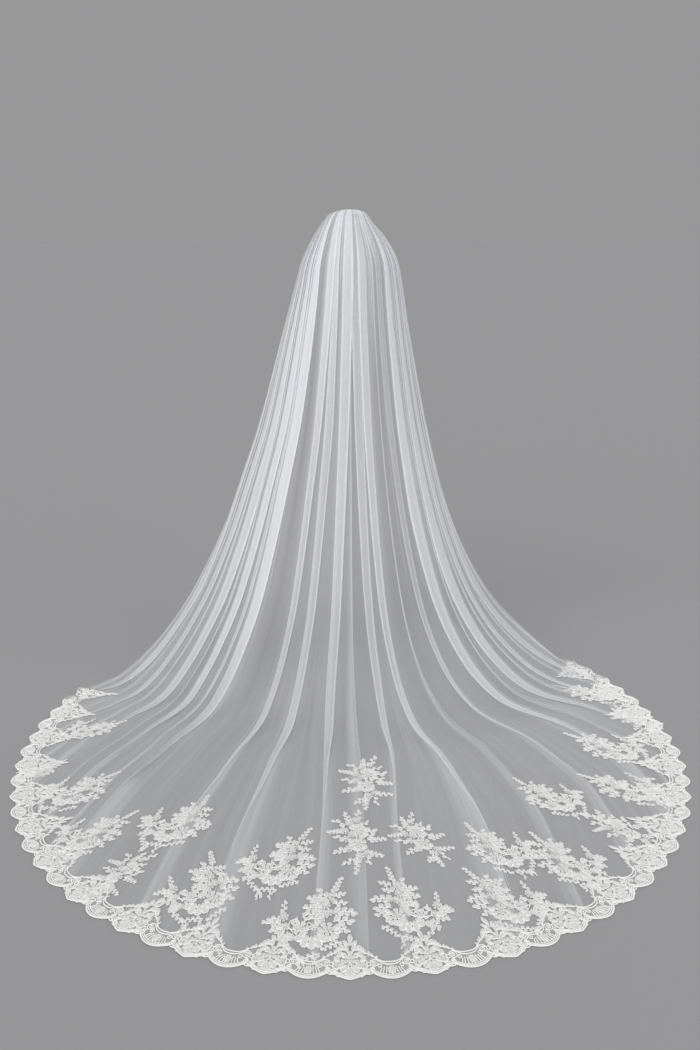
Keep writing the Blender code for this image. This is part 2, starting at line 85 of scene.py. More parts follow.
# %% A socket that does arithmetic
class Value:
    """A node's output in one material.  Arithmetic on it adds Math nodes there."""

    def __init__(self, tree, socket=None):
        self.tree = tree
        self.socket = socket

    def node(self, kind, settings=None, output=0, **sockets):
        """Any node.  Its settings are set first, then its sockets get values or links:
        a socket is named with _ for each space, or s and its number."""
        made = self.tree.nodes.new(kind)
        for name, value in (settings or {}).items():
            setattr(made, name, value)
        for name, value in sockets.items():
            numbered = name[0] == "s" and name[1:].isdigit()
            socket = made.inputs[int(name[1:]) if numbered else name.replace("_", " ")]
            if isinstance(value, Value):
                self.tree.links.new(value.socket, socket)
            else:
                socket.default_value = value
        return Value(self.tree, made.outputs[output])

    def maths(self, operation, first, second=0.0):
        """One Math node."""
        return self.node("ShaderNodeMath", {"operation": operation}, s0=first, s1=second)

    def __add__(self, other):
        return self.maths("ADD", self, other)

    def __sub__(self, other):
        return self.maths("SUBTRACT", self, other)

    def __mul__(self, other):
        return self.maths("MULTIPLY", self, other)

    __radd__ = __add__
    __rmul__ = __mul__

    def __rsub__(self, other):
        return self.maths("SUBTRACT", other, self)

    def __truediv__(self, other):
        return self.maths("DIVIDE", self, other)

    def __rtruediv__(self, other):
        return self.maths("DIVIDE", other, self)

    def __rpow__(self, other):
        return self.maths("POWER", other, self)

    def wave(self, pitch):
        """Cosine of the value, one turn for each pitch."""
        return self.maths("COSINE", self * (2 * math.pi / pitch))


def new_finish(name):
    """An empty material and the Value that its formulas start from."""
    material = bpy.data.materials.new(name)
    material.use_nodes = True
    material.node_tree.nodes.clear()
    return material, Value(material.node_tree)


def dress(shader):
    """Makes a shader the surface of its material."""
    out = shader.tree.nodes.new("ShaderNodeOutputMaterial")
    shader.tree.links.new(shader.socket, out.inputs["Surface"])


def blended(share, first, second):
    """Mix of two colours by a share from 0 to 1."""
    return share.node("ShaderNodeMix", {"data_type": "RGBA"}, output=2,
                      s0=share, s6=first, s7=second)


def cloth_place(start):
    """The two surface coordinates of a piece, in metres along it and across it."""
    uv = start.node("ShaderNodeUVMap", {"uv_map": "cloth"})
    split = uv.node("ShaderNodeSeparateXYZ", s0=uv)
    return split, Value(split.tree, split.socket.node.outputs[1])


def mottle(start, scale, detail=2.0):
    """Noise on Object coordinates, so that its marks are equally large on every piece."""
    return start.node("ShaderNodeTexNoise", Scale=scale, Detail=detail,
                      Vector=start.node("ShaderNodeTexCoord", output=3))


def hexagons(first, second, pitch):
    """The sum of three cosines in directions 120 degrees apart, from two coordinates.  It
    is 3 in the middle of each hole of a net, and lowest along its threads."""
    tilted = second * (math.sqrt(3) / 2)
    net = first.wave(pitch) + (tilted - first * 0.5).wave(pitch)
    return net + (tilted + first * 0.5).wave(pitch)


print("shader maths ready")

# %% [markdown]
# ## Floor and light
# White cloth needs a floor that is darker than itself, or it disappears.  A plain light
# grey floor that runs up to a sky of the same grey does that.  The light is soft and even:
# three suns as wide as windows, a main one behind the eye on the left, a weaker one on the
# right, and one on the far side, which shines through the tulle and draws its edges.

# %% Floor and light
FLOOR_RADIUS = 60.0
RIM_POINTS = 96
FLOOR_GREY = (0.3165, 0.3165, 0.3215, 1)
SKY_GREY = (0.312, 0.312, 0.318, 1)
SUN_WIDTH = 60               # degrees
# name, where it shines from, strength
SUNS = (
    ("left_sun", (-3.0, -5.0, 3.4), 2.30),
    ("right_sun", (5.5, -3.0, 2.8), 1.00),
    ("far_sun", (1.5, 6.0, 2.8), 1.30),
)
NET_BOUNCES = 96             # layers of net that one line of sight may pass


def build_floor():
    """A big flat disc, its rim points on a circle."""
    turn = np.arange(RIM_POINTS) / RIM_POINTS * 2 * np.pi
    rim = np.stack([np.cos(turn), np.sin(turn), 0 * turn], axis=-1) * FLOOR_RADIUS
    mesh = bpy.data.meshes.new("floor")
    mesh.from_pydata((rim - (0, 0, COMB_HEIGHT)).tolist(), [], [list(range(RIM_POINTS))])
    finish, start = new_finish("floor_paint")
    dress(start.node("ShaderNodeBsdfPrincipled", Base_Color=FLOOR_GREY, Roughness=0.9,
                     Specular_IOR_Level=0.0))
    mesh.materials.append(finish)
    floor = added("floor", mesh)


def hang_sun(name, source, strength):
    """A wide, soft sun that shines from a point towards the origin."""
    lamp = bpy.data.lights.new(name, "SUN")
    lamp.angle = math.radians(SUN_WIDTH)
    lamp.energy = strength
    sun = added(name, lamp)
    sun.rotation_euler = Vector(source).to_track_quat("Z", "Y").to_euler()


build_floor()
for row in SUNS:
    hang_sun(*row)
sky = bpy.data.worlds.new("sky")
sky.use_nodes = True
sky.node_tree.nodes["Background"].inputs["Color"].default_value = SKY_GREY
bpy.context.scene.world = sky
bpy.context.scene.view_settings.view_transform = "Standard"
bpy.context.scene.cycles.transparent_max_bounces = NET_BOUNCES
print("floor and", len(SUNS), "suns")

# %% [markdown]
# ## Surfaces from arrays
# Every piece of cloth here is a patch: a grid of points, worked out as one array.  A patch
# keeps five numbers for each point, its x, y and z and its place on the cloth along and
# across.  Leaves, petals and cords come many at a time, so a patch array has one more
# axis in front, which counts them.


# %% Meshes from patches
POINT_SIZE = 5               # numbers kept for each point
WELD = 2e-6                  # metres within which two points are one


def corners_of(patch, first):
    """Corner numbers of a patch's quads, counted from `first`, wound so that the normal is
    the row direction crossed with the column direction."""
    count, rows, columns = patch.shape[:3]
    number = first + np.arange(count * rows * columns).reshape(count, rows, columns)
    ring = [number[:, :-1, :-1], number[:, 1:, :-1], number[:, 1:, 1:], number[:, :-1, 1:]]
    return np.stack(ring, axis=-1).reshape(-1, 4)


def weld(mesh):
    """Joins points that coincide, so that tips, poles and the joins of rings are closed."""
    work = bmesh.new()
    work.from_mesh(mesh)
    bmesh.ops.remove_doubles(work, verts=work.verts, dist=WELD)
    work.to_mesh(mesh)
    work.free()


def piece_of(name, patches, finish, stands_for=(), layers=None):
    """One mesh object from patches, riding on the veil, with its surface coordinates and
    the number of layers at each point, if that is given."""
    points = np.concatenate([p.reshape(-1, POINT_SIZE) for p in patches])
    starts = np.cumsum([0] + [p.size // POINT_SIZE for p in patches])
    quads = np.concatenate([corners_of(p, s) for p, s in zip(patches, starts)])
    mesh = bpy.data.meshes.new(name)
    mesh.vertices.add(len(points))
    mesh.vertices.foreach_set("co", points[:, :3].astype(np.float32).ravel())
    mesh.loops.add(quads.size)
    mesh.loops.foreach_set("vertex_index", quads.astype(np.int32).ravel())
    mesh.polygons.add(len(quads))
    mesh.polygons.foreach_set("loop_start", np.arange(0, quads.size, 4, dtype=np.int32))
    mesh.uv_layers.new(name="cloth").uv.foreach_set(
        "vector", points[quads.ravel(), 3:].astype(np.float32).ravel())
    if layers is not None:
        kept = mesh.attributes.new("layers", "FLOAT", "POINT")
        kept.data.foreach_set("value", layers.astype(np.float32).ravel())
    mesh.update(calc_edges=True)
    weld(mesh)
    mesh.shade_smooth()
    mesh.materials.append(finish)
    thing = added(name, mesh)
    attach(thing, "root")
    if stands_for:
        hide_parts(*stands_for)
    print(f"{name}: {2 * len(quads)} triangles")
    return thing


def smooth_rows(table, at):
    """A table read at fractional row numbers.  Between two rows each column runs on a
    cubic.  Its slope at a row is the harmonic mean of the steps before and after it, or 0
    where they differ in sign, so that the curve never swings past the rows."""
    table = np.asarray(table, float)
    step = np.diff(table, axis=0)
    same = step[:-1] * step[1:] > 0
    slope = np.concatenate([step[:1], np.zeros_like(step[1:]), step[-1:]])
    slope[1:-1][same] = (2 * step[:-1] * step[1:])[same] / (step[:-1] + step[1:])[same]
    low = np.clip(np.floor(at).astype(int), 0, len(table) - 2)
    t = (at - low)[:, None]
    return (table[low] * (2 * t**3 - 3 * t**2 + 1) + slope[low] * (t**3 - 2 * t**2 + t)
            + table[low + 1] * (3 * t**2 - 2 * t**3) + slope[low + 1] * (t**3 - t**2))


def running_length(points):
    """Length down the first axis of a path or a grid, from 0 at its first point."""
    step = np.linalg.norm(np.diff(points, axis=0), axis=-1)
    return np.concatenate([0 * step[:1], np.cumsum(step, axis=0)])


print("patch tools ready")

# %% [markdown]
# ## The form that the tulle hangs on
# The veil is one panel of soft tulle, gathered to a hand's width at the comb.  Seen from
# above it is a horseshoe round the wearer's back, which widens all the way down and then
# runs out over the floor.  So a short table of horseshoes, one row for each height, gives
# the whole form, and cubics carry the cloth smoothly from row to row.

# %% Horseshoe sections
SECTION_COLUMNS = ("centre_y", "reach", "half_left", "half_right", "wrap_left", "wrap_right",
                   "z_back", "z_left", "z_right", "lift_from", "gather", "fold")
SECTIONS = np.array((
    # sewn flat on the bent comb, then the puff above it
    (0.0900, 0.0900, 0.0900, 0.0900, 32, 32, 1.6795, 1.6795, 1.6795, 0.0, 0.0004, 0.00),
    (0.0900, 0.0900, 0.0900, 0.0900, 32, 32, 1.688, 1.688, 1.688, 0.0, 0.0004, 0.00),
    (0.0160, 0.0290, 0.0540, 0.0500, 84, 84, 1.7005, 1.690, 1.690, 0.0, 0.0008, 0.00),
    (0.0080, 0.0520, 0.0720, 0.0590, 94, 94, 1.690, 1.684, 1.684, 0.0, 0.0014, 0.00),
    # back of the head
    (0.0080, 0.0880, 0.1000, 0.0810, 99, 99, 1.655, 1.650, 1.650, 0.0, 0.0026, 0.00),
    (0.0150, 0.1300, 0.1340, 0.1255, 100, 100, 1.592, 1.596, 1.600, 0.0, 0.0040, 0.00),
    (0.0200, 0.1620, 0.1730, 0.1695, 100, 100, 1.510, 1.515, 1.520, 0.0, 0.0050, 0.05),
    # shoulders and back
    (0.0200, 0.1780, 0.2035, 0.1925, 98, 98, 1.405, 1.410, 1.415, 0.0, 0.0060, 0.10),
    (0.0150, 0.1900, 0.2420, 0.2155, 95, 95, 1.270, 1.280, 1.280, 0.0, 0.0060, 0.20),
    (0.0000, 0.1980, 0.2920, 0.2500, 92, 92, 1.090, 1.100, 1.100, 0.0, 0.0060, 0.35),
    (-0.0200, 0.2050, 0.3500, 0.2925, 90, 90, 0.890, 0.900, 0.900, 0.0, 0.0050, 0.50),
    # over the spread of the skirt
    (-0.0500, 0.2150, 0.4170, 0.3410, 90, 90, 0.690, 0.710, 0.710, 0.0, 0.0040, 0.65),
    (-0.0900, 0.2450, 0.4840, 0.3995, 90, 90, 0.490, 0.530, 0.530, 0.0, 0.0020, 0.80),
    (-0.1400, 0.3000, 0.5530, 0.4680, 90, 90, 0.310, 0.385, 0.385, 0.1, 0.0000, 0.95),
    (-0.2000, 0.3700, 0.6170, 0.5435, 92, 92, 0.175, 0.270, 0.270, 0.2, 0.0000, 1.00),
    (-0.2700, 0.4500, 0.6770, 0.6220, 94, 96, 0.085, 0.185, 0.190, 0.3, 0.0000, 1.00),
    (-0.3500, 0.5300, 0.7450, 0.7150, 96, 104, 0.025, 0.110, 0.115, 0.5, 0.0000, 1.00),
    # the train on the floor
    (-0.4400, 0.5800, 0.8150, 0.8400, 100, 113.0, 0.000, 0.055, 0.040, 0.75, 0.0000, 1.00),
    (-0.5500, 0.7000, 0.8750, 0.9350, 104, 118.6, 0.000, 0.025, 0.002, 0.86, 0.0000, 0.65),
    (-0.6600, 0.8400, 0.9380, 1.0050, 108, 122.5, 0.000, 0.000, 0.000, 0.90, 0.0000, 0.25),
    (-0.9300, 1.1630, 1.0470, 1.0500, 112, 126, 0.000, 0.000, 0.000, 0.90, 0.0000, 0.00),
))
HEM = len(SECTIONS) - 1
SMALL_STEP = 1e-3            # in sections or in `at`, for slopes
BACK_STEPS = 2001


def section_sizes(row):
    """Each named size at fractional row numbers, as a column."""
    return dict(zip(SECTION_COLUMNS, smooth_rows(SECTIONS, row).T[:, :, None]))


def unfolded(row, at):
    """Points of the veil before it is folded, at going from -1 (left edge) to 1 (right).
    turn = wrap * at;  x = half * sin(turn);  y = centre_y - reach * cos(turn);  z climbs
    from the centre back to the edge with the square of `at` beyond lift_from."""
    size = section_sizes(row)
    left = at < 0
    half = np.where(left, size["half_left"], size["half_right"])
    turn = np.radians(np.where(left, size["wrap_left"], size["wrap_right"])) * at
    edge = np.where(left, size["z_left"], size["z_right"])
    rise = np.clip((np.abs(at) - size["lift_from"]) / (1 - size["lift_from"]), 0, 1)
    z = size["z_back"] + (edge - size["z_back"]) * rise**2 - COMB_HEIGHT
    y = size["centre_y"] - size["reach"] * np.cos(turn)
    return np.stack([half * np.sin(turn), y + 0 * z, z], axis=-1)


def unfolded_normal(row, at):
    """Unit normals away from the wearer: the way down the veil crossed with the way
    across it, both from small steps."""
    across = unfolded(row, at + SMALL_STEP) - unfolded(row, at - SMALL_STEP)
    down = unfolded(row + SMALL_STEP, at) - unfolded(row - SMALL_STEP, at)
    normal = np.cross(down, across)
    return normal / np.linalg.norm(normal, axis=-1, keepdims=True)


centre_back = unfolded(np.linspace(0, HEM, BACK_STEPS), np.zeros((BACK_STEPS, 1)))[:, 0]
BACK_LENGTH = running_length(centre_back)
print("length down the centre back:", round(BACK_LENGTH[-1], 3), "m")

# %% [markdown]
# ## Folds
# Gathered tulle falls in pleats that lean over and lie on their neighbours.  Where the
# net lies three deep it looks white, and between the pleats it is almost clear.  Those
# long bright bands are what the eye sees first, so every band is a real lapped fold of
# the surface here: its cross-section is an S.  The large ones are listed one by one, uneven in
# height, lap and length, and two fine gathers stand between each two of them.

# %% Table of folds
FOLDS = (
    # at, the place across the veil; height; foot, half the width; lap, how far the crest
    # falls over, to the right if positive; the section where the lap has run out; tail,
    # the height of the crease that runs on over the train
    (-0.975, 0.012, 0.010, 0.020, 18.0, 0.0006),
    (-0.930, 0.020, 0.015, 0.062, 19.4, 0.0010),
    (-0.840, 0.010, 0.010, 0.012, 17.0, 0.0006),
    (-0.790, 0.014, 0.012, 0.036, 19.7, 0.0009),
    (-0.715, 0.010, 0.010, 0.014, 18.0, 0.0006),
    (-0.665, 0.020, 0.014, 0.044, 19.6, 0.0010),
    (-0.585, 0.009, 0.009, 0.010, 17.0, 0.0006),
    (-0.550, 0.014, 0.011, 0.034, 19.3, 0.0009),
    (-0.485, 0.010, 0.009, 0.018, 18.5, 0.0006),
    (-0.450, 0.018, 0.012, 0.044, 19.5, 0.0010),
    (-0.262, 0.012, 0.010, 0.032, 19.2, 0.0006),
    (-0.185, 0.017, 0.012, 0.036, 19.5, 0.0010),
    (-0.085, 0.014, 0.011, 0.042, 19.6, 0.0009),
    (0.020, 0.007, 0.008, -0.008, 17.0, 0.0005),
    (0.120, 0.014, 0.011, -0.036, 19.4, 0.0009),
    (0.190, 0.016, 0.011, -0.034, 19.6, 0.0010),
    (0.275, 0.008, 0.008, -0.009, 17.0, 0.0006),
    (0.390, 0.010, 0.009, -0.031, 19.3, 0.0008),
    (0.515, 0.019, 0.013, -0.050, 19.6, 0.0010),
    (0.570, 0.009, 0.009, -0.010, 17.5, 0.0005),
    (0.655, 0.020, 0.014, -0.050, 19.7, 0.0010),
    (0.705, 0.010, 0.010, -0.014, 18.0, 0.0006),
    (0.765, 0.013, 0.011, -0.034, 19.5, 0.0008),
    (0.825, 0.012, 0.010, -0.018, 18.5, 0.0006),
    (0.895, 0.020, 0.014, -0.054, 19.4, 0.0010),
    (0.955, 0.012, 0.010, -0.020, 18.0, 0.0006),
)
PLEAT_LAP = 0.030                  # a fold that laps further is a pleat
GATHER_PLACES = (0.36, 0.68)       # of the fine gathers, on the way to the next fold
GATHER_STRAY = 0.07                # the most by which they miss these places
GATHER_HEIGHTS = (0.002, 0.005)    # least and most
GATHER_LAPS = (0.004, 0.011)
GATHER_ENDS = (8, 16)
GATHER_FOOT = 0.004
FOLD_SEED = 7


def all_folds():
    """The folds of the table and the fine gathers between them, in order across, and the
    rank of each: 0 for a gather, 1 for a fold, 2 for a pleat."""
    large = np.array(FOLDS)
    draw = np.random.default_rng(FOLD_SEED)
    spare = np.diff(large[:, 0])
    fine = []
    for share in GATHER_PLACES:
        stray = draw.uniform(-GATHER_STRAY, GATHER_STRAY, len(spare))
        place = large[:-1, 0] + spare * (share + stray)
        height = draw.uniform(*GATHER_HEIGHTS, len(spare))
        lap = draw.uniform(*GATHER_LAPS, len(spare)) * np.sign(-place)
        ends = draw.uniform(*GATHER_ENDS, len(spare))
        foot = np.full(len(spare), GATHER_FOOT)
        fine.append(np.stack([place, height, foot, lap, ends, 0 * ends], axis=1))
    table = np.concatenate([large] + fine)
    is_large = np.arange(len(table)) < len(large)
    rank = is_large.astype(int) + (np.abs(table[:, 3]) > PLEAT_LAP)
    order = np.argsort(table[:, 0])
    return table[order], rank[order]


folds, rank = all_folds()
print(np.bincount(rank), "gathers, folds and pleats")

# %% [markdown]
# A fold isn't equally large all the way down.  It starts as a gather at the comb, stands
# fullest where the cloth hangs, and its lap opens out towards the floor, where only a
# crease is left.  It is also held back where its neighbours stand close.

# %% Size of each fold in each row
ROWS = 121
ROW_CROWDING = 1.3           # rows crowd towards the comb, where the cloth turns sharply
FOOT_ROOM = 0.28             # share of the way to its neighbour that a fold's foot may take
NARROWEST_FOOT = 0.3
FADE_SECTIONS = 3            # a gather dies away over its last sections
LAP_RUNS_OUT = 3.3           # sections over which a fold's lap narrows to nothing
FOLD_RELIEF_ENDS = 18.5      # below this section a fold is only its lap and its crease
HANGING_SECTIONS = (2, 6, 14, 17)          # where the hanging part starts and ends
TAIL_FROM = 15.0             # section where the creases on the train take over
# of a gather, a fold and a pleat
LAP_ROOM = np.array((0.8, 0.85, 0.8))      # share of the way to the next of its own rank
RELIEF_SHARE = np.array((0.6, 1, 1))       # of the height in the table
HANGING_RISE = np.array((0, 0, 0.010))     # least height where the cloth hangs


def eased(share):
    """A share that starts and stops gently: share^2 * (3 - 2 share)."""
    return share * share * (3 - 2 * share)


def sheet_rows():
    """Fractional section numbers of the grid's rows, spaced by length down the back."""
    wanted = np.linspace(0, 1, ROWS) ** ROW_CROWDING * BACK_LENGTH[-1]
    return np.interp(wanted, BACK_LENGTH, np.linspace(0, HEM, len(BACK_LENGTH)))


def way_to_next(at, rank):
    """How far apart the folds of each rank stand where each fold is, counting those of
    a higher rank with the lower ones."""
    ways = [np.interp(at, at[rank >= r], np.gradient(at[rank >= r])) for r in range(3)]
    return np.choose(rank, ways)


def fold_sizes(row, table, rank):
    """Foot, lap, height and metres per unit of `at` for every fold in every row.  They
    are the table's sizes, held back where the folds stand close together; the height
    also follows its section's share, and fades before the fold's end."""
    at, height, foot, lap, ends, tail = table.T[:, None, :]
    size = section_sizes(row)
    metres = unfolded(row, at + SMALL_STEP) - unfolded(row, at - SMALL_STEP)
    metres = np.linalg.norm(metres, axis=-1) / (2 * SMALL_STEP)
    row = row[:, None]
    gaps = np.diff(table[:, 0], prepend=-1, append=1)
    room = np.minimum(gaps[:-1], gaps[1:]) * metres
    narrow = np.minimum(foot, room * FOOT_ROOM) / foot
    relief_ends = np.where(rank > 0, FOLD_RELIEF_ENDS, ends)
    fade = eased(np.clip((relief_ends - row) / FADE_SECTIONS, 0, 1))
    left = np.where(rank > 0, np.clip((ends - row) / LAP_RUNS_OUT, 0, 1), fade)
    most = LAP_ROOM[rank] * way_to_next(table[:, 0], rank) * metres
    lap = np.sign(lap) * np.minimum(np.abs(lap) * left, most)
    fine = np.where(rank > 0, 1, fade)
    lift = np.maximum(height * size["fold"] * narrow * fade, size["gather"] * fine)
    rise = HANGING_RISE[rank] * np.interp(row, HANGING_SECTIONS, (0, 1, 1, 0))
    lift = np.maximum(lift * RELIEF_SHARE[rank], rise)
    lift = np.maximum(lift, tail * np.clip(row - TAIL_FROM, 0, 1))
    narrow = narrow * (NARROWEST_FOOT + (1 - NARROWEST_FOOT) * np.where(rank > 0, left, 1))
    return foot * narrow, lap, lift, metres


sheet_row = sheet_rows()
print("rows from section", sheet_row[0], "to", sheet_row[-1])

# %% [markdown]
# A pleat also holds gathers that are too fine to shape one by one.  They only make it
# whiter, so a table says how many layers of net lie in the cloth, from pleat to pleat and
# from the crown to the train.  The tulle's finish reads that number at each point.

# %% Layers of fine gathers
# at, then the layers at the crown, nape, back, skirt and train, which are these sections
LAYER_SECTIONS = (3.6, 6.0, 9.0, 13.5, 17.5)
LAYERS = (
    (-1.000, 3.2, 2.4, 1.5, 1.0, 1.0), (-0.700, 4.8, 3.0, 1.2, 1.0, 1.1),
    (-0.665, 5.0, 3.8, 2.2, 1.4, 1.05), (-0.600, 5.0, 3.6, 2.0, 1.3, 1.1),
    (-0.575, 4.6, 2.2, 1.2, 0.7, 0.8), (-0.550, 4.8, 3.4, 2.0, 1.4, 1.05),
    (-0.500, 4.8, 3.6, 2.0, 1.0, 1.1), (-0.470, 4.4, 2.6, 1.4, 1.0, 1.1),
    (-0.450, 4.8, 3.8, 2.5, 1.7, 1.15), (-0.375, 4.4, 3.4, 2.3, 1.3, 1.1),
    (-0.362, 2.6, 1.0, 0.5, 0.5, 0.8), (-0.275, 3.4, 1.6, 0.6, 0.5, 0.8),
    (-0.262, 3.6, 2.6, 1.5, 1.0, 1.0), (-0.205, 3.4, 2.2, 1.3, 1.0, 1.0),
    (-0.193, 0.6, 0.5, 0.6, 0.6, 0.8), (-0.183, 3.2, 2.4, 1.6, 1.1, 1.05),
    (-0.115, 2.8, 2.2, 1.6, 1.0, 1.0), (-0.100, 0.5, 0.6, 0.6, 0.6, 0.8),
    (-0.085, 2.8, 2.2, 1.6, 1.1, 1.05), (-0.008, 2.8, 2.2, 1.6, 1.0, 1.0),
    (0.004, 0.4, 0.4, 0.5, 0.6, 0.8), (0.050, 0.8, 0.5, 0.6, 0.6, 0.8),
    (0.062, 2.2, 2.0, 1.4, 1.0, 1.0), (0.080, 0.4, 1.8, 1.4, 1.0, 1.0),
    (0.130, 0.3, 0.8, 1.3, 1.0, 1.0), (0.155, 0.3, 0.6, 1.7, 1.2, 1.0),
    (0.185, 0.6, 2.4, 1.7, 1.2, 1.05), (0.205, 3.6, 2.8, 1.7, 1.1, 1.0),
    (0.225, 3.6, 2.6, 0.6, 0.6, 0.8), (0.285, 3.6, 1.2, 0.5, 0.6, 0.8),
    (0.405, 2.2, 0.5, 0.6, 0.7, 0.9), (0.430, 4.4, 3.4, 2.3, 1.1, 1.0),
    (0.515, 4.8, 3.8, 2.5, 1.4, 1.15), (0.530, 4.0, 3.0, 1.9, 0.7, 0.8),
    (0.558, 4.0, 2.6, 1.4, 0.7, 0.8), (0.575, 4.4, 3.6, 2.3, 1.4, 1.05),
    (0.655, 4.6, 3.6, 2.2, 1.6, 1.15), (0.675, 4.2, 2.8, 1.4, 1.0, 1.1),
    (1.000, 3.2, 2.2, 1.4, 1.0, 1.0),
)


def layers_of(row, at):
    """Layers at fractional sections and places: straight lines between the table's rows,
    then between its columns."""
    table = np.array(LAYERS)
    columns = np.stack([np.interp(at, table[:, 0], column) for column in table[:, 1:].T])
    last = len(LAYER_SECTIONS) - 1.001     # just short of the last column, so one follows
    place = np.interp(row, LAYER_SECTIONS, np.linspace(0, last, len(LAYER_SECTIONS)))
    low = place.astype(int)
    t = (place - low)[:, None]
    return columns[low] * (1 - t) + columns[low + 1] * t


print("layers of net in a pleat: up to", max(max(line[1:]) for line in LAYERS))

# %% [markdown]
# Each fold gets a bundle of grid columns, from one foot over its crest to the other foot.
# Down the veil the bundles only spread apart, so the same columns follow each pleat from
# the comb to the train.  Where the net turns back on itself its threads crowd together,
# which draws a white line down each side of a pleat.  On the train some folds drift
# aside, as they do where cloth is spread by hand.

# %% The folded sheet
WALL = 0.0014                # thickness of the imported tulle, whose place the fine one takes
POINTS = np.array((5, 11, 19))     # columns over a gather, a fold and a pleat
FLOOR_GAP = 0.0004
CREASE_LAYERS = 3.2          # extra share of thread where the cloth turns back in a fold
CREASE_WIDTH = 0.20          # of such a crease, as a share of half the fold
# place of a fold, and how far it drifts on the train
DRIFT = ((-1, 0), (-0.45, 0), (-0.262, -0.02), (-0.185, 0), (-0.085, 0.038), (0.02, 0),
         (0.12, -0.057), (0.19, 0), (1, 0))
DRIFT_SECTIONS = (14.2, 19.6)      # where it starts, and where it is whole
CROWN_FAN = 0.6              # how much more evenly the pleats stand at the crown
CROWN_SECTIONS = (3, 8)      # where that starts to change, and where the table holds


def folded_sheet(row, table, rank):
    """Points of the sheet, and the layers there.  Over a fold s goes from -1 to 1 and
    b = cos(pi s / 2)^2.  Across the veil a point moves by foot * s + lap * b, and it stands
    height * b * (2 - b) proud of the unfolded form.  A large fold turns back at its crest,
    s = 0, and at its foot below the lap: there the layers are multiplied by
    1 + crease_layers * exp(-(distance / crease_width)^4).  Near the comb the pleats fan
    out: `at` is multiplied by 1 + crown_fan * (1 - |at|)."""
    counts = POINTS[rank]
    owner = np.repeat(np.arange(len(table)), counts)
    s = np.concatenate([np.linspace(-1, 1, n) for n in counts])
    b = np.cos(np.pi * s / 2) ** 2
    foot, lap, lift, metres = (a[:, owner] for a in fold_sizes(row, table, rank))
    edge = np.ones((len(row), 1))
    at = table[owner, 0] + (foot * s + lap * b) / metres
    at = np.concatenate([-edge, at, edge], axis=1)
    lift = np.concatenate([0 * edge, lift * b * (2 - b), 0 * edge], axis=1)

    below_lap = 1 - s * np.sign(table[owner, 3])
    crease = sum(np.exp(-((gap / CREASE_WIDTH) ** 4)) for gap in (s, below_lap))
    crease = np.concatenate([[0], crease * (rank[owner] > 0), [0]])
    layers = layers_of(row, np.concatenate([[-1], table[owner, 0] + 0 * s, [1]]))
    layers = layers * (1 + CREASE_LAYERS * crease)

    drift = eased(np.interp(row, DRIFT_SECTIONS, (0, 1)))[:, None]
    at = at + drift * np.interp(at, *np.array(DRIFT).T)
    full, ends = CROWN_SECTIONS
    fan = CROWN_FAN * np.clip((ends - row) / (ends - full), 0, 1) ** 2
    at = at * (1 + fan[:, None] * (1 - np.abs(at)))
    points = unfolded(row, at) + unfolded_normal(row, at) * (lift + WALL / 2)[..., None]
    points[..., 2] = np.maximum(points[..., 2], FLOOR_GAP - COMB_HEIGHT)
    return points, layers


def with_cloth_place(points):
    """Adds to a grid its cloth coordinates: length across the hem from the middle, which
    stays the same all the way up a pleat, and length down."""
    across = running_length(points[-1]) + 0 * points[..., 0]
    across -= across[:, across.shape[1] // 2][:, None]
    down = running_length(points)
    return np.concatenate([points, across[..., None], down[..., None]], axis=-1)[None]


sheet, layers = folded_sheet(sheet_row, folds, rank)
print("sheet:", sheet.shape[0], "rows of", sheet.shape[1], "points")

# %% [markdown]
# ## Tulle
# Tulle is a net of hair-fine threads in small hexagons.  One layer hides about a seventh
# of what is behind it, and more where it is seen at a slant, because the eye then passes
# more thread.  So the share that is cloth grows as 1 / cos of the slant.  The threads are
# matt and let some light through, so part of the cloth's light is passed on from behind.

# %% Tulle finish
NET_PITCH = 0.0016
NET_CONTRAST = 0.22
CLEAR_SHARE = 0.845          # of the light that one flat layer lets past
LEAST_SLANT = 0.08           # keeps the thread seen edge on from growing without end
PASSED_ON = 0.42             # share of the thread's light that comes from behind it
TULLE_WHITE = (0.93, 0.94, 0.96, 1)
STREAKS_ACROSS = 30.0        # soft streaks in a metre of cloth
STREAKS_DOWN = 0.7
STREAK_CONTRAST = 1.6


def tulle_finish():
    """Clear share = clear_share ^ (threads * layers / slant), threads being 1 on average
    and slant the cosine of the view's slant plus least_slant.  The threads are the
    hexagons of the net, and long soft streaks make the cloth closer here and there."""
    material, start = new_finish("white_tulle")
    across, down = cloth_place(start)
    net = hexagons(across, down, NET_PITCH)
    place = start.node("ShaderNodeCombineXYZ", X=across * STREAKS_ACROSS, Y=down * STREAKS_DOWN)
    streaks = start.node("ShaderNodeTexNoise", Vector=place, Scale=1.0, Detail=2.0)
    threads = 1 - net * (NET_CONTRAST / 3) + (streaks - 0.5) * STREAK_CONTRAST
    slant = 1 + LEAST_SLANT - start.node("ShaderNodeLayerWeight", output=1)
    layers = start.node("ShaderNodeAttribute", {"attribute_name": "layers"}, output=2)
    cloth_share = 1 - CLEAR_SHARE ** (threads * layers / slant)
    thread = start.node("ShaderNodeBsdfPrincipled", Base_Color=TULLE_WHITE, Roughness=0.8,
                        Sheen_Weight=0.15, Specular_IOR_Level=0.3)
    through = start.node("ShaderNodeBsdfTranslucent", Color=TULLE_WHITE)
    cloth = start.node("ShaderNodeMixShader", s0=PASSED_ON, s1=thread, s2=through)
    clear = start.node("ShaderNodeBsdfTransparent")
    dress(start.node("ShaderNodeMixShader", s0=cloth_share, s1=clear, s2=cloth))
    return material


tulle = piece_of("veil_tulle", [with_cloth_place(sheet)], tulle_finish(),
                 ["tulle_panel"], layers)

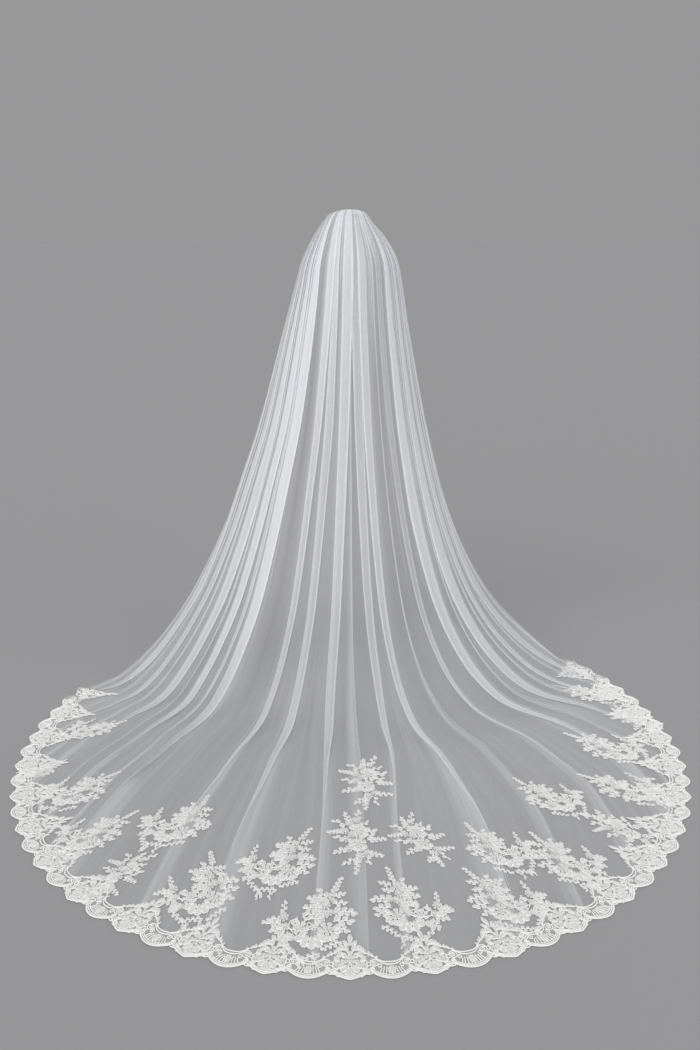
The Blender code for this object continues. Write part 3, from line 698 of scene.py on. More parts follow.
# %% [markdown]
# ## Lace, stitch by stitch
# The lace is corded: every leaf and petal is a small field of stitches inside a raised
# cord.  It is drawn flat here, in millimetres, with x to the right and y towards the
# wearer, and only then laid on the train.  Leaves, petals, cords and beads are all rows
# of a table that one function turns into thousands of small patches at once.

# %% Leaves, cords and beads
MM = 0.001
LEAF_STEPS = 7
LEAF_ACROSS = np.array((-1.0, -0.72, 0.0, 0.72, 1.0))
LEAF_RELIEF = np.array((0.0, 1.0, 0.25, 1.0, 0.0))
LEAF_CORD = 1.2              # height of the cord round a leaf, in mm
CORD_RELIEF = np.array((0.0, 0.8, 1.0, 0.8, 0.0))
BEAD_FACETS = (4, 6)         # down a bead, and round it


def leaves(rows):
    """Patches from rows of x, y, angle, length, width, roundness, height and bend, in mm
    and degrees.  Half the width is sin(pi t^p)^q, with p = 0.75 + 0.75 * roundness and
    q = 0.85 - 0.35 * roundness, so that a pointed leaf is widest below its middle, and a
    round petal above it.  The leaf's own line bends aside by bend * length * t^2."""
    rows = np.asarray(rows, float)
    x, y, angle, length, width, rounded, rise, bend = rows.T[:, :, None, None]
    t = np.linspace(0, 1, LEAF_STEPS)[None, :, None]
    v = LEAF_ACROSS[None, None, :]
    bulge = np.abs(np.sin(np.pi * t ** (0.75 + 0.75 * rounded))) ** (0.85 - 0.35 * rounded)
    along = t * length
    across = v * width / 2 * bulge + bend * length * t * t
    turn = np.radians(angle)
    height = rise + LEAF_RELIEF * LEAF_CORD * np.sqrt(bulge) + 0 * along
    flat = [x + along * np.cos(turn) - across * np.sin(turn),
            y + along * np.sin(turn) + across * np.cos(turn)]
    return np.stack(flat + [height, along * MM + 0 * v, v + 0 * along], axis=-1)


def cords(paths, radius, rise=0.2):
    """Half-round cords along paths (number, points, 2), all in mm: 5 points across."""
    paths = np.asarray(paths, float)
    run = np.gradient(paths, axis=1)
    run /= np.linalg.norm(run, axis=-1, keepdims=True) + 1e-9
    left = np.stack([-run[..., 1], run[..., 0]], axis=-1)[:, :, None]
    radius = np.broadcast_to(radius, paths.shape[:2])[..., None]
    flat = paths[:, :, None] + left * (LEAF_ACROSS * radius)[..., None]
    length = running_length(paths.swapaxes(0, 1)).T[..., None] * MM + 0 * LEAF_ACROSS
    height = rise + CORD_RELIEF * radius
    across = 1 + 0 * length
    return np.concatenate([flat, np.stack([height, length, across], axis=-1)], axis=-1)


def beads(rows):
    """Small balls from rows of x, y, radius and height of the middle."""
    x, y, radius, rise = np.asarray(rows, float).T[:, :, None, None]
    down = np.linspace(0, np.pi, BEAD_FACETS[0] + 1)[None, :, None]
    turn = np.linspace(0, 2 * np.pi, BEAD_FACETS[1] + 1)[None, None, :]
    ball = [x + radius * np.sin(down) * np.cos(turn),
            y + radius * np.sin(down) * np.sin(turn),
            rise + radius * np.cos(down) + 0 * turn]
    return np.stack(ball + [0 * x + down * MM + 0 * turn, 0 * x + turn + 0 * down], axis=-1)


def smooth_path(points, steps):
    """A path through a few points, evenly stepped by point number."""
    return smooth_rows(points, np.linspace(0, len(points) - 1, steps))


def mirror(rows):
    """Rows of x, y, angle ... with x and the angle turned over to the other side."""
    rows = np.array(rows, float)
    rows[:, 0] *= -1
    rows[:, 2] = 180 - rows[:, 2]
    return rows


print("a leaf has", LEAF_STEPS * len(LEAF_ACROSS), "points")

# %% [markdown]
# A rose is three rings of petals that stand higher and closer towards the heart.  A twig
# is a stem with leaves on either side by turns, and one leaf at its end.  A fan is the
# lower half of a large flower.

# %% Roses, fans and twigs
# of each ring: petals, start, length and width as shares of the radius, height in mm
ROSE_RINGS = ((7, 0.44, 0.58, 0.58, 0.1), (5, 0.14, 0.46, 0.46, 1.1), (3, 0.02, 0.26, 0.30, 1.9))
FAN_START = 0.4              # of a fan's petals, as a share of its radius
FAN_RISE = 0.05              # in mm
TWIG_STEPS = 6
TWIG_SPREAD = 46             # degrees between a leaf and its stem
TWIG_TAPER = 0.32            # how much smaller the last leaves are
TWIG_END = 0.82              # where the last leaf starts
LAST_LEAF_LENGTH = 1.2       # against the other leaves
LAST_LEAF_WIDTH = 0.8        # against a leaf of that length
LEAF_SHAPE = 0.72            # width of a twig's leaf as a share of its length
LEAF_ROUNDNESS = 0.42
LEAF_RISE = 0.1              # in mm
LEAF_BEND = 0.10


def petals(roses, rings=ROSE_RINGS):
    """Leaf rows for roses given as rows of x, y, radius and turn."""
    x, y, radius, turn = np.asarray(roses, float).T[:, :, None]
    made = []
    for number, (count, start, length, width, rise) in enumerate(rings):
        angle = turn + (np.arange(count) + 0.5 * (number % 2)) * 360 / count
        one = 0 * angle + 1
        base_x = x + radius * start * np.cos(np.radians(angle))
        base_y = y + radius * start * np.sin(np.radians(angle))
        ring = [base_x, base_y, angle, radius * length * one, radius * width * one, one,
                rise * one, 0 * one]
        made.append(np.stack(ring, axis=-1).reshape(-1, len(ring)))
    return np.concatenate(made)


def fans(rows):
    """Leaf rows for fans of petals given as x, y, radius, middle angle, spread and count."""
    made = []
    for x, y, radius, middle, spread, count in rows:
        count = int(count)
        angle = middle + spread * (np.arange(count) / (count - 1) - 0.5)
        turn = np.radians(angle)
        one = np.ones(count)
        width = one * radius * math.radians(spread) / count
        start = FAN_START * radius
        fan = [x + start * np.cos(turn), y + start * np.sin(turn), angle,
               (1 - FAN_START) * radius * one, width, one, FAN_RISE * one, 0 * one]
        made.append(np.stack(fan, axis=-1))
    return np.concatenate(made)


def twigs(rows):
    """Leaf rows and stem paths for twigs given as rows of x, y, angle, length, pairs of
    leaves, leaf length and bend.  The stem turns evenly by its bend: after a share t of it
    the chord is t * sinc(bend t / 2) long, in the direction angle + bend t / 2.  Leaf i of
    a side sits at (i + 0.15) / (pairs + 0.2) of the stem, or half a step further."""
    x, y, angle, length, pairs, leaf, bend = np.asarray(rows, float).T

    def on_stem(who, t):
        half_turn = np.radians(bend[who]) * t / 2
        chord = length[who] * t * np.sinc(half_turn / np.pi)
        toward = np.radians(angle[who]) + half_turn
        return x[who] + chord * np.cos(toward), y[who] + chord * np.sin(toward)

    owner = np.repeat(np.arange(len(x)), (2 * pairs + 1).astype(int))
    first = np.concatenate([[0], np.cumsum(2 * pairs + 1)])[:-1]
    order = np.arange(len(owner)) - first[owner]
    side = np.where(order % 2 == 0, 1, -1)
    last = order == 2 * pairs[owner]
    place = np.where(last, TWIG_END, (order / 2 + 0.15) / (pairs[owner] + 0.2))
    size = leaf[owner] * (1 - TWIG_TAPER * place) * np.where(last, LAST_LEAF_LENGTH, 1)
    width = size * LEAF_SHAPE * np.where(last, LAST_LEAF_WIDTH, 1)
    tilt = angle[owner] + bend[owner] * place + np.where(last, 0, side * TWIG_SPREAD)
    one = np.ones(len(owner))
    found = np.stack([*on_stem(owner, place), tilt, size, width, LEAF_ROUNDNESS * one,
                      LEAF_RISE * one, -LEAF_BEND * side * ~last], axis=-1)
    t = np.linspace(0, 1, TWIG_STEPS)[None]
    stems = np.stack(on_stem(np.arange(len(x))[:, None], t), axis=-1)
    return found, stems


print("a rose has", len(petals([(0, 0, 10, 0)])), "petals")

# %% [markdown]
# ## Lace thread
# The thread is off-white cotton with a little shine.  Stitches run across each leaf, so
# the ridges are a wave along it, and the field between the cords is painted a shade
# darker: painted shade, for the shade that lies sunk between the raised cords.

# %% Lace finish
THREAD_WHITE = (0.91, 0.905, 0.885, 1)
# painted shade: the field inside the cords, and the net of the border, are painted this grey for
# the shade that lies between the raised cords
PAINTED_SHADE_WHITE = (0.64, 0.64, 0.63, 1)
CORD_STARTS = (0.50, 0.72)   # |across| where the field ends, and where the cord is whole
SPECKLE = 0.2                # share of the colour that is left to chance
STITCH_PITCH = 0.0011
STITCH_HEIGHT = 0.00025


def thread_finish():
    """White over the cord, a grey of painted shade inside it for the shade between the cords: the
    share is a ramp of |across|.
    """
    material, start = new_finish("ivory_lace")
    along, across = cloth_place(start)
    edge = start.maths("ABSOLUTE", across)
    cord = start.node("ShaderNodeMapRange", {"clamp": True},
                      s0=edge, s1=CORD_STARTS[0], s2=CORD_STARTS[1])
    grain = mottle(start, 900.0)
    # the cords get the thread's white, and the field gets the grey of painted shade
    white = blended(cord * (1 - SPECKLE) + grain * SPECKLE, PAINTED_SHADE_WHITE, THREAD_WHITE)
    ridge = along.wave(STITCH_PITCH) * 0.5 + grain
    bump = start.node("ShaderNodeBump", Strength=0.6, Distance=STITCH_HEIGHT, Height=ridge)
    dress(start.node("ShaderNodeBsdfPrincipled", Base_Color=white, Roughness=0.66,
                     Normal=bump, Sheen_Weight=0.2))
    return material


LACE_THREAD = thread_finish()
print("lace thread ready, with", STITCH_PITCH / MM, "mm from stitch to stitch")

# %% [markdown]
# ## Two kinds of spray
# Most sprays are a crescent: a tall arm, large flowers in its bend, a short arm on the
# other side, and a garland of tiny leaves below.  The rest are upright sprigs with flowers
# up the middle.  These tables draw both at full size.  Every spray is then drawn anew with
# small differences, as a lace maker's hand would make them.

# %% Drawing of the sprays
# x, y, angle, length, pairs of leaves, leaf length, bend
CRESCENT_TWIGS = (
    (51, 98, 76, 54, 4, 15, -8), (54, 84, 28, 30, 2, 16, -10), (50, 64, 14, 30, 2, 16, -8),
    (54, 40, 16, 54, 3, 21, -30), (56, 14, 8, 46, 2, 23, -12), (56, -4, -14, 34, 2, 18, -10),
    (40, 76, 118, 40, 2, 19, 14), (30, 80, 168, 46, 3, 17, 12), (26, 60, 156, 34, 2, 17, 10),
    (26, 54, 180, 46, 3, 19, 6), (24, 36, 188, 38, 2, 21, -8), (22, 22, 184, 26, 1, 19, -12),
    (-84, 28, 196, 38, 3, 15, 10), (-73, 40, 98, 30, 2, 14, -8), (-68, 6, 160, 36, 2, 21, 12),
    (-68, -4, 200, 34, 2, 19, -8), (-62, -12, 244, 34, 2, 19, -10), (-50, -18, 232, 26, 2, 16, 8),
    (-14, 2, 96, 18, 1, 15, 0), (-50, 4, 60, 18, 1, 14, 20),
    (-74, -44, 318, 76, 5, 14, -10), (72, -44, 206, 62, 4, 14, 8), (16, -74, 186, 60, 4, 14, 8),
    (-30, -78, 256, 22, 1, 14, 0), (-2, -80, 284, 20, 1, 13, 0),
)
CRESCENT_ROSES = ((38, -12, 24, 10), (-28, -6, 21, 5), (35, 62, 13, 20), (43, 90, 9, 0),
                  (30, 34, 14, 30), (44, 40, 11, 0), (22, 14, 12, 40), (64, 40, 11, 12),
                  (-73, 30, 14, 12), (-66, 2, 11, 30), (6, 0, 12, 50), (-50, -30, 9, 0),
                  (52, 76, 8, 10), (24, 74, 8, 0))
CRESCENT_FANS = ((-2, -18, 46, 268, 128, 5), (-2, -14, 30, 272, 150, 5),
                 (42, -14, 31, 322, 130, 5))
CRESCENT_STEMS = (
    ((50, 100), (41, 74), (31, 50), (27, 28), (18, 8), (2, -6), (-26, -12), (-62, -4)),
    ((20, 40), (8, 24), (12, 8), (4, 2), (-8, -2), (-12, 8), (-4, 10), (-2, 4)),
    ((-46, -16), (-58, 0), (-54, 16), (-40, 20), (-32, 12), (-38, 4), (-46, 6), (-44, 12)),
)
SPRIG_TWIGS = (
    (-4, 60, 98, 44, 3, 16, -10), (14, 70, 60, 46, 2, 19, 10), (-14, 60, 158, 34, 1, 21, 8),
    (-34, 40, 182, 46, 4, 14, -6), (-24, -26, 202, 42, 2, 18, 10), (34, 30, 20, 30, 1, 23, 0),
    (34, -2, 354, 56, 4, 16, 8), (34, -48, 346, 50, 3, 16, 12), (26, -58, 292, 28, 1, 17, 0),
    (0, -64, 222, 38, 2, 17, -10), (4, -68, 264, 48, 3, 16, 8), (-30, 6, 172, 30, 1, 19, 0),
    (28, 12, 8, 24, 1, 17, 0), (26, 52, 30, 26, 1, 16, 0),
)
SPRIG_ROSES = ((12, 33, 23, 25), (10, -13, 23, 5), (-28, 38, 14, 0), (17, 76, 11, 30),
               (-26, 6, 13, 20), (-22, -30, 13, 15), (32, -46, 12, 0), (10, -58, 14, 10),
               (-6, 66, 12, 20), (-8, 22, 12, 0))
SPRIG_FANS = ((12, 33, 31, 40, 190, 6), (8, -12, 31, 235, 170, 6))
SPRIG_STEMS = (
    ((0, 96), (4, 66), (0, 40), (6, 10), (-4, -22), (4, -46), (2, -70), (0, -92)),
)
STEM_STEPS = 22
STEM_RADIUS = 1.3
STEM_RISE = 0.6
TWIG_STEM_RADIUS = 1.0
BEADS_IN_A_ROSE = 5
BEAD_RADIUS = 1.1
BEAD_RING = 0.12             # radius of the ring of beads, as a share of the rose's
BEAD_BED = 2.2               # height of the petals under the beads
# most difference in x, y, angle and length of a twig, from one spray to the next
TWIG_DIFFERENCES = (2.0, 2.0, 9.0, 5.0)
CRESCENT = (CRESCENT_TWIGS, CRESCENT_ROSES, CRESCENT_FANS, CRESCENT_STEMS)
SPRIG = (SPRIG_TWIGS, SPRIG_ROSES, SPRIG_FANS, SPRIG_STEMS)


def drawn_spray(kind, chance):
    """All thread patches of one spray, and the rows of its beads."""
    twig_rows, rose_rows, fan_rows, stem_rows = (np.array(table, float) for table in kind)
    most = np.array(TWIG_DIFFERENCES)
    twig_rows[:, :4] += chance.uniform(-most, most, (len(twig_rows), 4))
    rose_rows[:, 3] += chance.uniform(0, 360, len(rose_rows))
    leaf_rows, stems = twigs(twig_rows)
    everything = np.concatenate([fans(fan_rows), leaf_rows, petals(rose_rows)])
    main_stems = np.stack([smooth_path(path, STEM_STEPS) for path in stem_rows])
    thread = [leaves(everything), cords(stems, TWIG_STEM_RADIUS),
              cords(main_stems, STEM_RADIUS, STEM_RISE)]
    x, y, radius, turn = rose_rows.T[:, :, None]
    spin = np.radians(turn + np.arange(BEADS_IN_A_ROSE) * 360 / BEADS_IN_A_ROSE)
    ball = 0 * spin + BEAD_RADIUS
    bead_rows = np.stack([x + radius * BEAD_RING * np.cos(spin),
                          y + radius * BEAD_RING * np.sin(spin),
                          ball, ball + BEAD_BED], axis=-1)
    return thread, beads(bead_rows.reshape(-1, 4))


for name, kind in (("crescent", CRESCENT), ("sprig", SPRIG)):
    print(name, "has", len(kind[0]), "twigs and", len(kind[1]), "roses")

# %% [markdown]
# ## Sprays on the train
# Each spray is bent a little, scaled, mirrored if it leans the other way, turned and set
# in its place.  It lies just above the tulle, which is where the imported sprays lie.

# %% Sewing on the sprays
SEAM = 0.0003
LACE_BASE = WALL + SEAM - COMB_HEIGHT
SPRAY_SEED = 5
MOST_BEND = 0.0012           # an arm bends aside by at most this times y^2, in mm
STRETCH = 1.45               # lace motifs are this much longer towards the wearer
# x, y, turn of its tip away from the wearer, size, and the side its long arm leans to
SPRAYS = (
    (CRESCENT, -0.895, -0.842, 44, 0.64, 1), (CRESCENT, -0.988, -1.133, 28, 0.50, 1),
    (CRESCENT, -0.845, -1.271, 20, 0.83, 1), (CRESCENT, -0.746, -1.512, 20, 0.81, 1),
    (CRESCENT, -0.506, -1.462, 14, 0.90, 1), (SPRIG, -0.620, -1.694, 30, 0.77, 1),
    (CRESCENT, -0.386, -1.792, -8, 0.93, 1), (CRESCENT, -0.199, -1.664, 4, 0.94, 1),
    (CRESCENT, -0.094, -1.921, -2, 0.98, 1), (SPRIG, 0.043, -1.200, 0, 1.00, 1),
    (SPRIG, 0.015, -1.530, -4, 0.96, 1), (SPRIG, 0.192, -1.531, -22, 0.87, 1),
    (CRESCENT, 0.153, -1.865, -6, 0.90, -1), (CRESCENT, 0.425, -1.594, 17, 0.83, -1),
    (CRESCENT, 0.409, -1.834, 12, 0.87, -1), (CRESCENT, 0.621, -1.310, 23, 0.79, -1),
    (CRESCENT, 0.600, -1.653, 9, 0.84, -1), (CRESCENT, 0.868, -1.250, 36, 0.84, -1),
    (SPRIG, 0.779, -1.483, -37, 0.83, 1), (CRESCENT, 0.877, -0.985, 32, 0.89, -1),
    (CRESCENT, 0.905, -0.550, 42, 0.75, -1), (SPRIG, 0.984, -0.766, -32, 0.77, 1),
)


def on_train(patch, bend, x, y, turn, size, hand):
    """A drawn patch laid on the train: bend * y^2 is added to x, then it is
    (x, y) * (hand, stretch) * size, turned by -turn * hand, and moved.  Mirroring turns
    the columns round, so that faces stay up."""
    angle = -math.radians(turn) * hand
    flat = patch[..., :2] + bend * patch[..., 1:2] ** 2 * (1, 0)
    flat = flat * (hand, STRETCH) * size * MM
    laid = patch.copy()
    laid[..., 0] = x + flat[..., 0] * math.cos(angle) - flat[..., 1] * math.sin(angle)
    laid[..., 1] = y + flat[..., 0] * math.sin(angle) + flat[..., 1] * math.cos(angle)
    laid[..., 2] = patch[..., 2] * MM + LACE_BASE
    return laid if hand > 0 else laid[:, :, ::-1]


chance = np.random.default_rng(SPRAY_SEED)
spray_beads = []
for number, (kind, *place) in enumerate(SPRAYS, 1):
    thread, balls = drawn_spray(kind, chance)
    place = (chance.uniform(-MOST_BEND, MOST_BEND), *place)
    patches = [on_train(patch, *place) for patch in thread]
    piece_of(f"spray_{number:02d}", patches, LACE_THREAD,
                           [f"lace_spray_{number:02d}"])
    spray_beads.append(on_train(balls, *place))

# %% [markdown]
# ## The border's repeat
# The border is one design, sewn round the hem again and again: a tall flower fan that
# points to the wearer, then a shallow dip.  So one repeat is drawn flat, from the fan at
# x = 0 to the middle of the dip on either side, with y counted in from the scalloped edge.
# Only half of it is in the tables, because the other half is its mirror image.

# %% Drawing of the border
REPEAT = 0.197
HALF = REPEAT / 2 / MM
SCALLOP_DEPTH = 0.026        # two scallops in each repeat
SCALLOP_POWERS = (1.3, 2.0)  # under the fan and under the dip
FAN_LEAVES = (
    # x, y, angle, length, width, roundness, height, bend
    (0, 90, 90, 27, 15, 0.35, 1.2, 0), (0, 92, 90, 15, 5, 0.2, 1.9, 0),
    (5, 84, 46, 21, 12, 0.4, 1.0, 0), (11, 77, 18, 22, 14, 0.7, 0.9, -0.1),
    (14, 66, -14, 22, 14, 0.7, 0.8, -0.1), (5, 70, 72, 17, 9, 0.5, 1.4, 0),
    (27, 66, 66, 19, 10, 0.35, 0.3, 0), (37, 62, 84, 15, 9, 0.35, 0.3, 0),
    (46, 59, 70, 13, 8, 0.35, 0.3, 0), (55, 55, 88, 11, 7, 0.35, 0.3, 0),
    (64, 50, 66, 10, 6, 0.35, 0.3, 0), (24, 46, 28, 20, 12, 0.6, 0.5, 0.1),
    (40, 50, 200, 15, 9, 0.6, 0.6, 0), (27, 26, 350, 17, 10, 0.5, 0.3, 0.1),
    (20, 16, 322, 14, 9, 0.6, 0.3, 0), (46, 26, 20, 13, 8, 0.5, 0.3, 0),
    (42, 20, 160, 12, 8, 0.5, 0.3, 0), (48, 48, 330, 12, 7, 0.5, 0.3, 0),
)
FAN_FLOWERS = ((0, 48, 24, 90), (0, 18, 13, 30))           # on the mirror line
SIDE_FLOWERS = ((32, 37, 10, 20), (97, 22, 9, 0))
FAN_PETALS = ((0, 42, 32, 270, 140, 6), (0, 76, 20, 90, 150, 5))
FAN_STEMS = (
    ((4, 66), (12, 74), (20, 74), (24, 68), (19, 62), (14, 66)),
    ((8, 92), (20, 80), (32, 70), (46, 63), (60, 56), (72, 47), (84, 42.5), (98.5, 41.5)),
    ((62, 53), (68, 48), (74, 42), (80, 38.5), (86, 36.5), (92, 35.5), (98.5, 35.3)),
    ((22, 10), (30, 18), (38, 14), (46, 13), (54, 17), (58, 25), (52, 30), (47, 26)),
    ((24, 28), (34, 26), (42, 32), (42, 42), (34, 48), (24, 44)),
)
RINGS = ((59, 41, 9.5), (59, 41, 4.5), (72, 33, 4.5), (45, 38, 5))      # x, y, radius
LADDER = ((68, 14, 76, 27), (75, 12, 82, 29), (83, 10, 88, 30), (91, 9, 94, 31),
          (98, 8, 98.5, 31))
EDGE_CORDS = ((2.0, 1.7), (6.0, 1.2), (9.8, 0.9))          # distance in, radius
EDGE_RISE = 0.1
# points along a cord
EDGE_STEPS = 41
CURL_STEPS = 20
RING_STEPS = 15
LADDER_STEPS = 4
# radius and height of a cord
STEM_CORD = (1.3, 0.5)
RING_CORD = (1.2, 0.4)
LADDER_CORD = (1.3, 0.3)
RING_SQUASH = 0.9
PICOT_STEP = 6.2             # small knots along the scalloped edge
PICOT = (0.6, 1.5, 0.8)      # distance in, radius and height of a knot
HEART_BEADS = (              # x, y, radius, height
    (0, 42, 2.4, 2.6), (3, 44, 1.3, 2.8), (-3, 44, 1.3, 2.8), (0, 38, 1.3, 2.8),
    (59, 41, 1.8, 1.2), (-59, 41, 1.8, 1.2), (72, 33, 1.3, 1.0), (-72, 33, 1.3, 1.0),
    (32, 37, 1.3, 2.6), (-32, 37, 1.3, 2.6),
)


def scallop(x):
    """Depth of the scalloped edge at x: |2 s / width| ^ p between notches, two per repeat,
    with a lower p under the fan, which is pointed, than under the dip, which is round."""
    span = (np.abs(x) + HALF / 2) % HALF - HALF / 2
    power = np.where(np.abs(x) < HALF / 2, *SCALLOP_POWERS)
    return SCALLOP_DEPTH / MM / STRETCH * np.abs(2 * span / HALF) ** power


def both_sides(paths):
    """Paths and their mirror images, the mirrored ones run backwards."""
    paths = np.asarray(paths, float)
    return np.concatenate([paths, paths[:, ::-1] * (-1, 1)])


def drawn_border():
    """All thread patches of one repeat, and the rows of its beads."""
    drawn = np.array(FAN_LEAVES, float)
    side = np.concatenate([drawn[2:], petals(SIDE_FLOWERS)])
    middle = np.concatenate([drawn[:2], petals(FAN_FLOWERS), fans(FAN_PETALS)])
    flipped = mirror(side)
    flipped[:, 7] *= -1
    everything = leaves(np.concatenate([middle, side, flipped]))
    stems = both_sides([smooth_path(path, CURL_STEPS) for path in FAN_STEMS])
    turn = np.linspace(0, 2 * np.pi, RING_STEPS)
    x, y, radius = np.array(RINGS).T[:, :, None]
    rings = np.stack([x + radius * np.cos(turn), y + radius * RING_SQUASH * np.sin(turn)],
                     axis=-1)
    x0, y0, x1, y1 = np.array(LADDER).T[:, :, None]
    t = np.linspace(0, 1, LADDER_STEPS)
    bars = np.stack([x0 + (x1 - x0) * t, y0 + (y1 - y0) * t], axis=-1)
    reach = np.linspace(-HALF, HALF, EDGE_STEPS)
    edges = [cords([np.stack([reach, scallop(reach) + inset], axis=-1)], radius, EDGE_RISE)
             for inset, radius in EDGE_CORDS]
    thread = [everything, cords(stems, *STEM_CORD), cords(both_sides(rings), *RING_CORD),
              cords(both_sides(bars), *LADDER_CORD)] + edges
    inset, radius, rise = PICOT
    knot = np.arange(-HALF + PICOT_STEP / 2, HALF, PICOT_STEP)
    knots = np.stack([knot, scallop(knot) + inset, 0 * knot + radius, 0 * knot + rise], axis=-1)
    return thread, beads(np.concatenate([knots, HEART_BEADS]))


BORDER = drawn_border()
print("one repeat has", sum(len(p) for p in BORDER[0]), "leaves and cords")

# %% [markdown]
# ## Bending the border round the hem
# The hem is the last horseshoe of the table.  A point of the drawing goes x along that
# curve and y in from it.  Copies that would run past the ends of the hem are left out.

# %% Border round the hem
HEM_OVERHANG = 0.027         # how far the scallops stand out past the tulle
END_MARGIN = 0.004
HEM_STEPS = 801


def hem_line():
    """Points of the hem in plan, unit directions out of it, and length along it from the
    centre back."""
    points = unfolded(np.array([float(HEM)]), np.linspace(-1, 1, HEM_STEPS)[None])[0, :, :2]
    run = np.gradient(points, axis=0)
    run /= np.linalg.norm(run, axis=1, keepdims=True)
    length = running_length(points)
    return points, np.stack([run[:, 1], -run[:, 0]], axis=1), length - length[HEM_STEPS // 2]


HEM_POINTS, HEM_OUT, HEM_LENGTH = hem_line()


def on_hem(place, depth):
    """Plan points a length along the hem and a depth in from the scallops' outer line."""
    spot = [np.interp(place, HEM_LENGTH, HEM_POINTS[:, i]) for i in (0, 1)]
    out = [np.interp(place, HEM_LENGTH, HEM_OUT[:, i]) for i in (0, 1)]
    return [s + o * (HEM_OVERHANG - depth) for s, o in zip(spot, out)]


def round_the_hem(patch):
    """Every copy of a drawn patch along the hem, without those that pass its ends."""
    first = math.floor(HEM_LENGTH[0] / REPEAT)
    copies = np.arange(first, 1 - first)[:, None, None, None]
    place = patch[None, ..., 0] * MM + copies * REPEAT
    x, y = on_hem(place, patch[None, ..., 1] * STRETCH * MM)
    rest = np.broadcast_to(patch[None, ..., 2:], place.shape + (3,))
    laid = np.concatenate([np.stack([x, y], axis=-1), rest], axis=-1)
    laid[..., 2] = laid[..., 2] * MM + LACE_BASE
    inside = (place > HEM_LENGTH[0] + END_MARGIN) & (place < HEM_LENGTH[-1] - END_MARGIN)
    return laid[inside.all(axis=(2, 3))]


border_thread = [round_the_hem(patch) for patch in BORDER[0]]
flowers = piece_of("border_flowers", border_thread[:1], LACE_THREAD, ["lace_border"])
border_cords = piece_of("border_cords", border_thread[1:], LACE_THREAD)
border_beads = round_the_hem(BORDER[1])

# %% [markdown]
# The flowers and cords of the border stand on a band of net that is closer than the
# tulle.  It runs from the scalloped edge to a line under the fans.

# %% Net ground of the border
GROUND_PITCH = 0.0030
GROUND_LINE = ((0, 74), (14, 72), (28, 68), (44, 62), (62, 53), (74, 44), (84, 41), (98.5, 40))
GROUND_COLUMNS = 1200
GROUND_STEPS = 8
GROUND_INSET = 1.0           # from the scallops' line, in mm
GROUND_SHARE = (0.6, 0.12)   # that is thread, on the threads and in the holes
GROUND_RAMP = (-1.0, 1.6)    # sums of the three cosines at which it is so


def ground_band():
    """A band along the whole hem: y goes from the scallops to the line of the table."""
    ends = HEM_LENGTH[[0, -1]] + np.array((END_MARGIN, -END_MARGIN))
    place = np.linspace(*ends, GROUND_COLUMNS)
    x = (place + REPEAT / 2) % REPEAT / MM - HALF
    top = np.interp(np.abs(x), *np.array(GROUND_LINE).T)
    bottom = scallop(x) + GROUND_INSET
    t = np.linspace(0, 1, GROUND_STEPS)[:, None]
    depth = (top + (bottom - top) * t) * STRETCH * MM
    flat = on_hem(place[None] + 0 * t, depth)
    height = np.full(depth.shape, LACE_BASE)
    return np.stack(flat + [height, place[None] + 0 * t, depth], axis=-1)[None]


def ground_finish():
    """A close net of hexagons: the share that is thread is a ramp of the three cosines,
    high between the holes."""
    material, start = new_finish("lace_ground")
    net = hexagons(*cloth_place(start), GROUND_PITCH)
    thread = start.node("ShaderNodeMapRange", {"clamp": True}, s0=net, s1=GROUND_RAMP[0],
                        s2=GROUND_RAMP[1], s3=GROUND_SHARE[0], s4=GROUND_SHARE[1])
    # the net's thread is painted the grey of painted shade, like the field of the lace
    cloth = start.node("ShaderNodeBsdfPrincipled", Base_Color=PAINTED_SHADE_WHITE, Roughness=0.8)
    clear = start.node("ShaderNodeBsdfTransparent")
    dress(start.node("ShaderNodeMixShader", s0=thread, s1=clear, s2=cloth))
    return material


ground = piece_of("border_ground", [ground_band()], ground_finish())

# %% [markdown]
# ## Pearls
# Seed pearls are sewn into the hearts of the roses and along the scallops.  They are
# glossier than the cotton, so they are one piece of their own, with a clear coat over a
# body that is a little uneven in colour.

# %% Pearls
PEARL_SHADE = (0.78, 0.77, 0.74, 1)
PEARL_WHITE = (0.92, 0.91, 0.88, 1)


def pearl_finish():
    """Small glossy beads with a clear coat."""
    material, start = new_finish("seed_pearl")
    white = blended(mottle(start, 160.0), PEARL_SHADE, PEARL_WHITE)
    dress(start.node("ShaderNodeBsdfPrincipled", Base_Color=white, Roughness=0.22,
                     Coat_Weight=0.6, Coat_Roughness=0.08))
    return material


pearls = piece_of("lace_pearls", spray_beads + [border_beads], pearl_finish())

# %% [markdown]
# ## Comb and ribbon
# The veil is held by a clear comb inside the turn of the tulle.  Its back is a bar bent
# to the head, and each tooth is a peg that thins to a blunt tip.  On the other face of the
# gathered edge lies a satin ribbon.  Whip stitches hold the three together, and pull the
# ribbon into small puckers.  All of it is drawn flat, as places along the comb, up it and
# inwards from the line of the origin, and then bent.

# %% Bending to the head
COMB_RADIUS = 0.090
COMB_LENGTH = 0.094
TOOTH_LEAN = 0.35            # forwards, for each metre down
BAR_BOTTOM = -0.0025
TUBE_SIDES = 12


def on_comb(patch):
    """Flat places (along, up, inwards) bent round the comb's radius.  Below the bar they
    also lean inwards, by lean * (bottom - up)."""
    angle = patch[..., 0] / COMB_RADIUS
    radius = COMB_RADIUS - patch[..., 2]
    lean = TOOTH_LEAN * np.maximum(BAR_BOTTOM - patch[..., 1], 0)
    y = COMB_RADIUS - radius * np.cos(angle) + lean
    return np.concatenate([np.stack([radius * np.sin(angle), y, patch[..., 1]], axis=-1),
                           patch[..., 3:]], axis=-1)


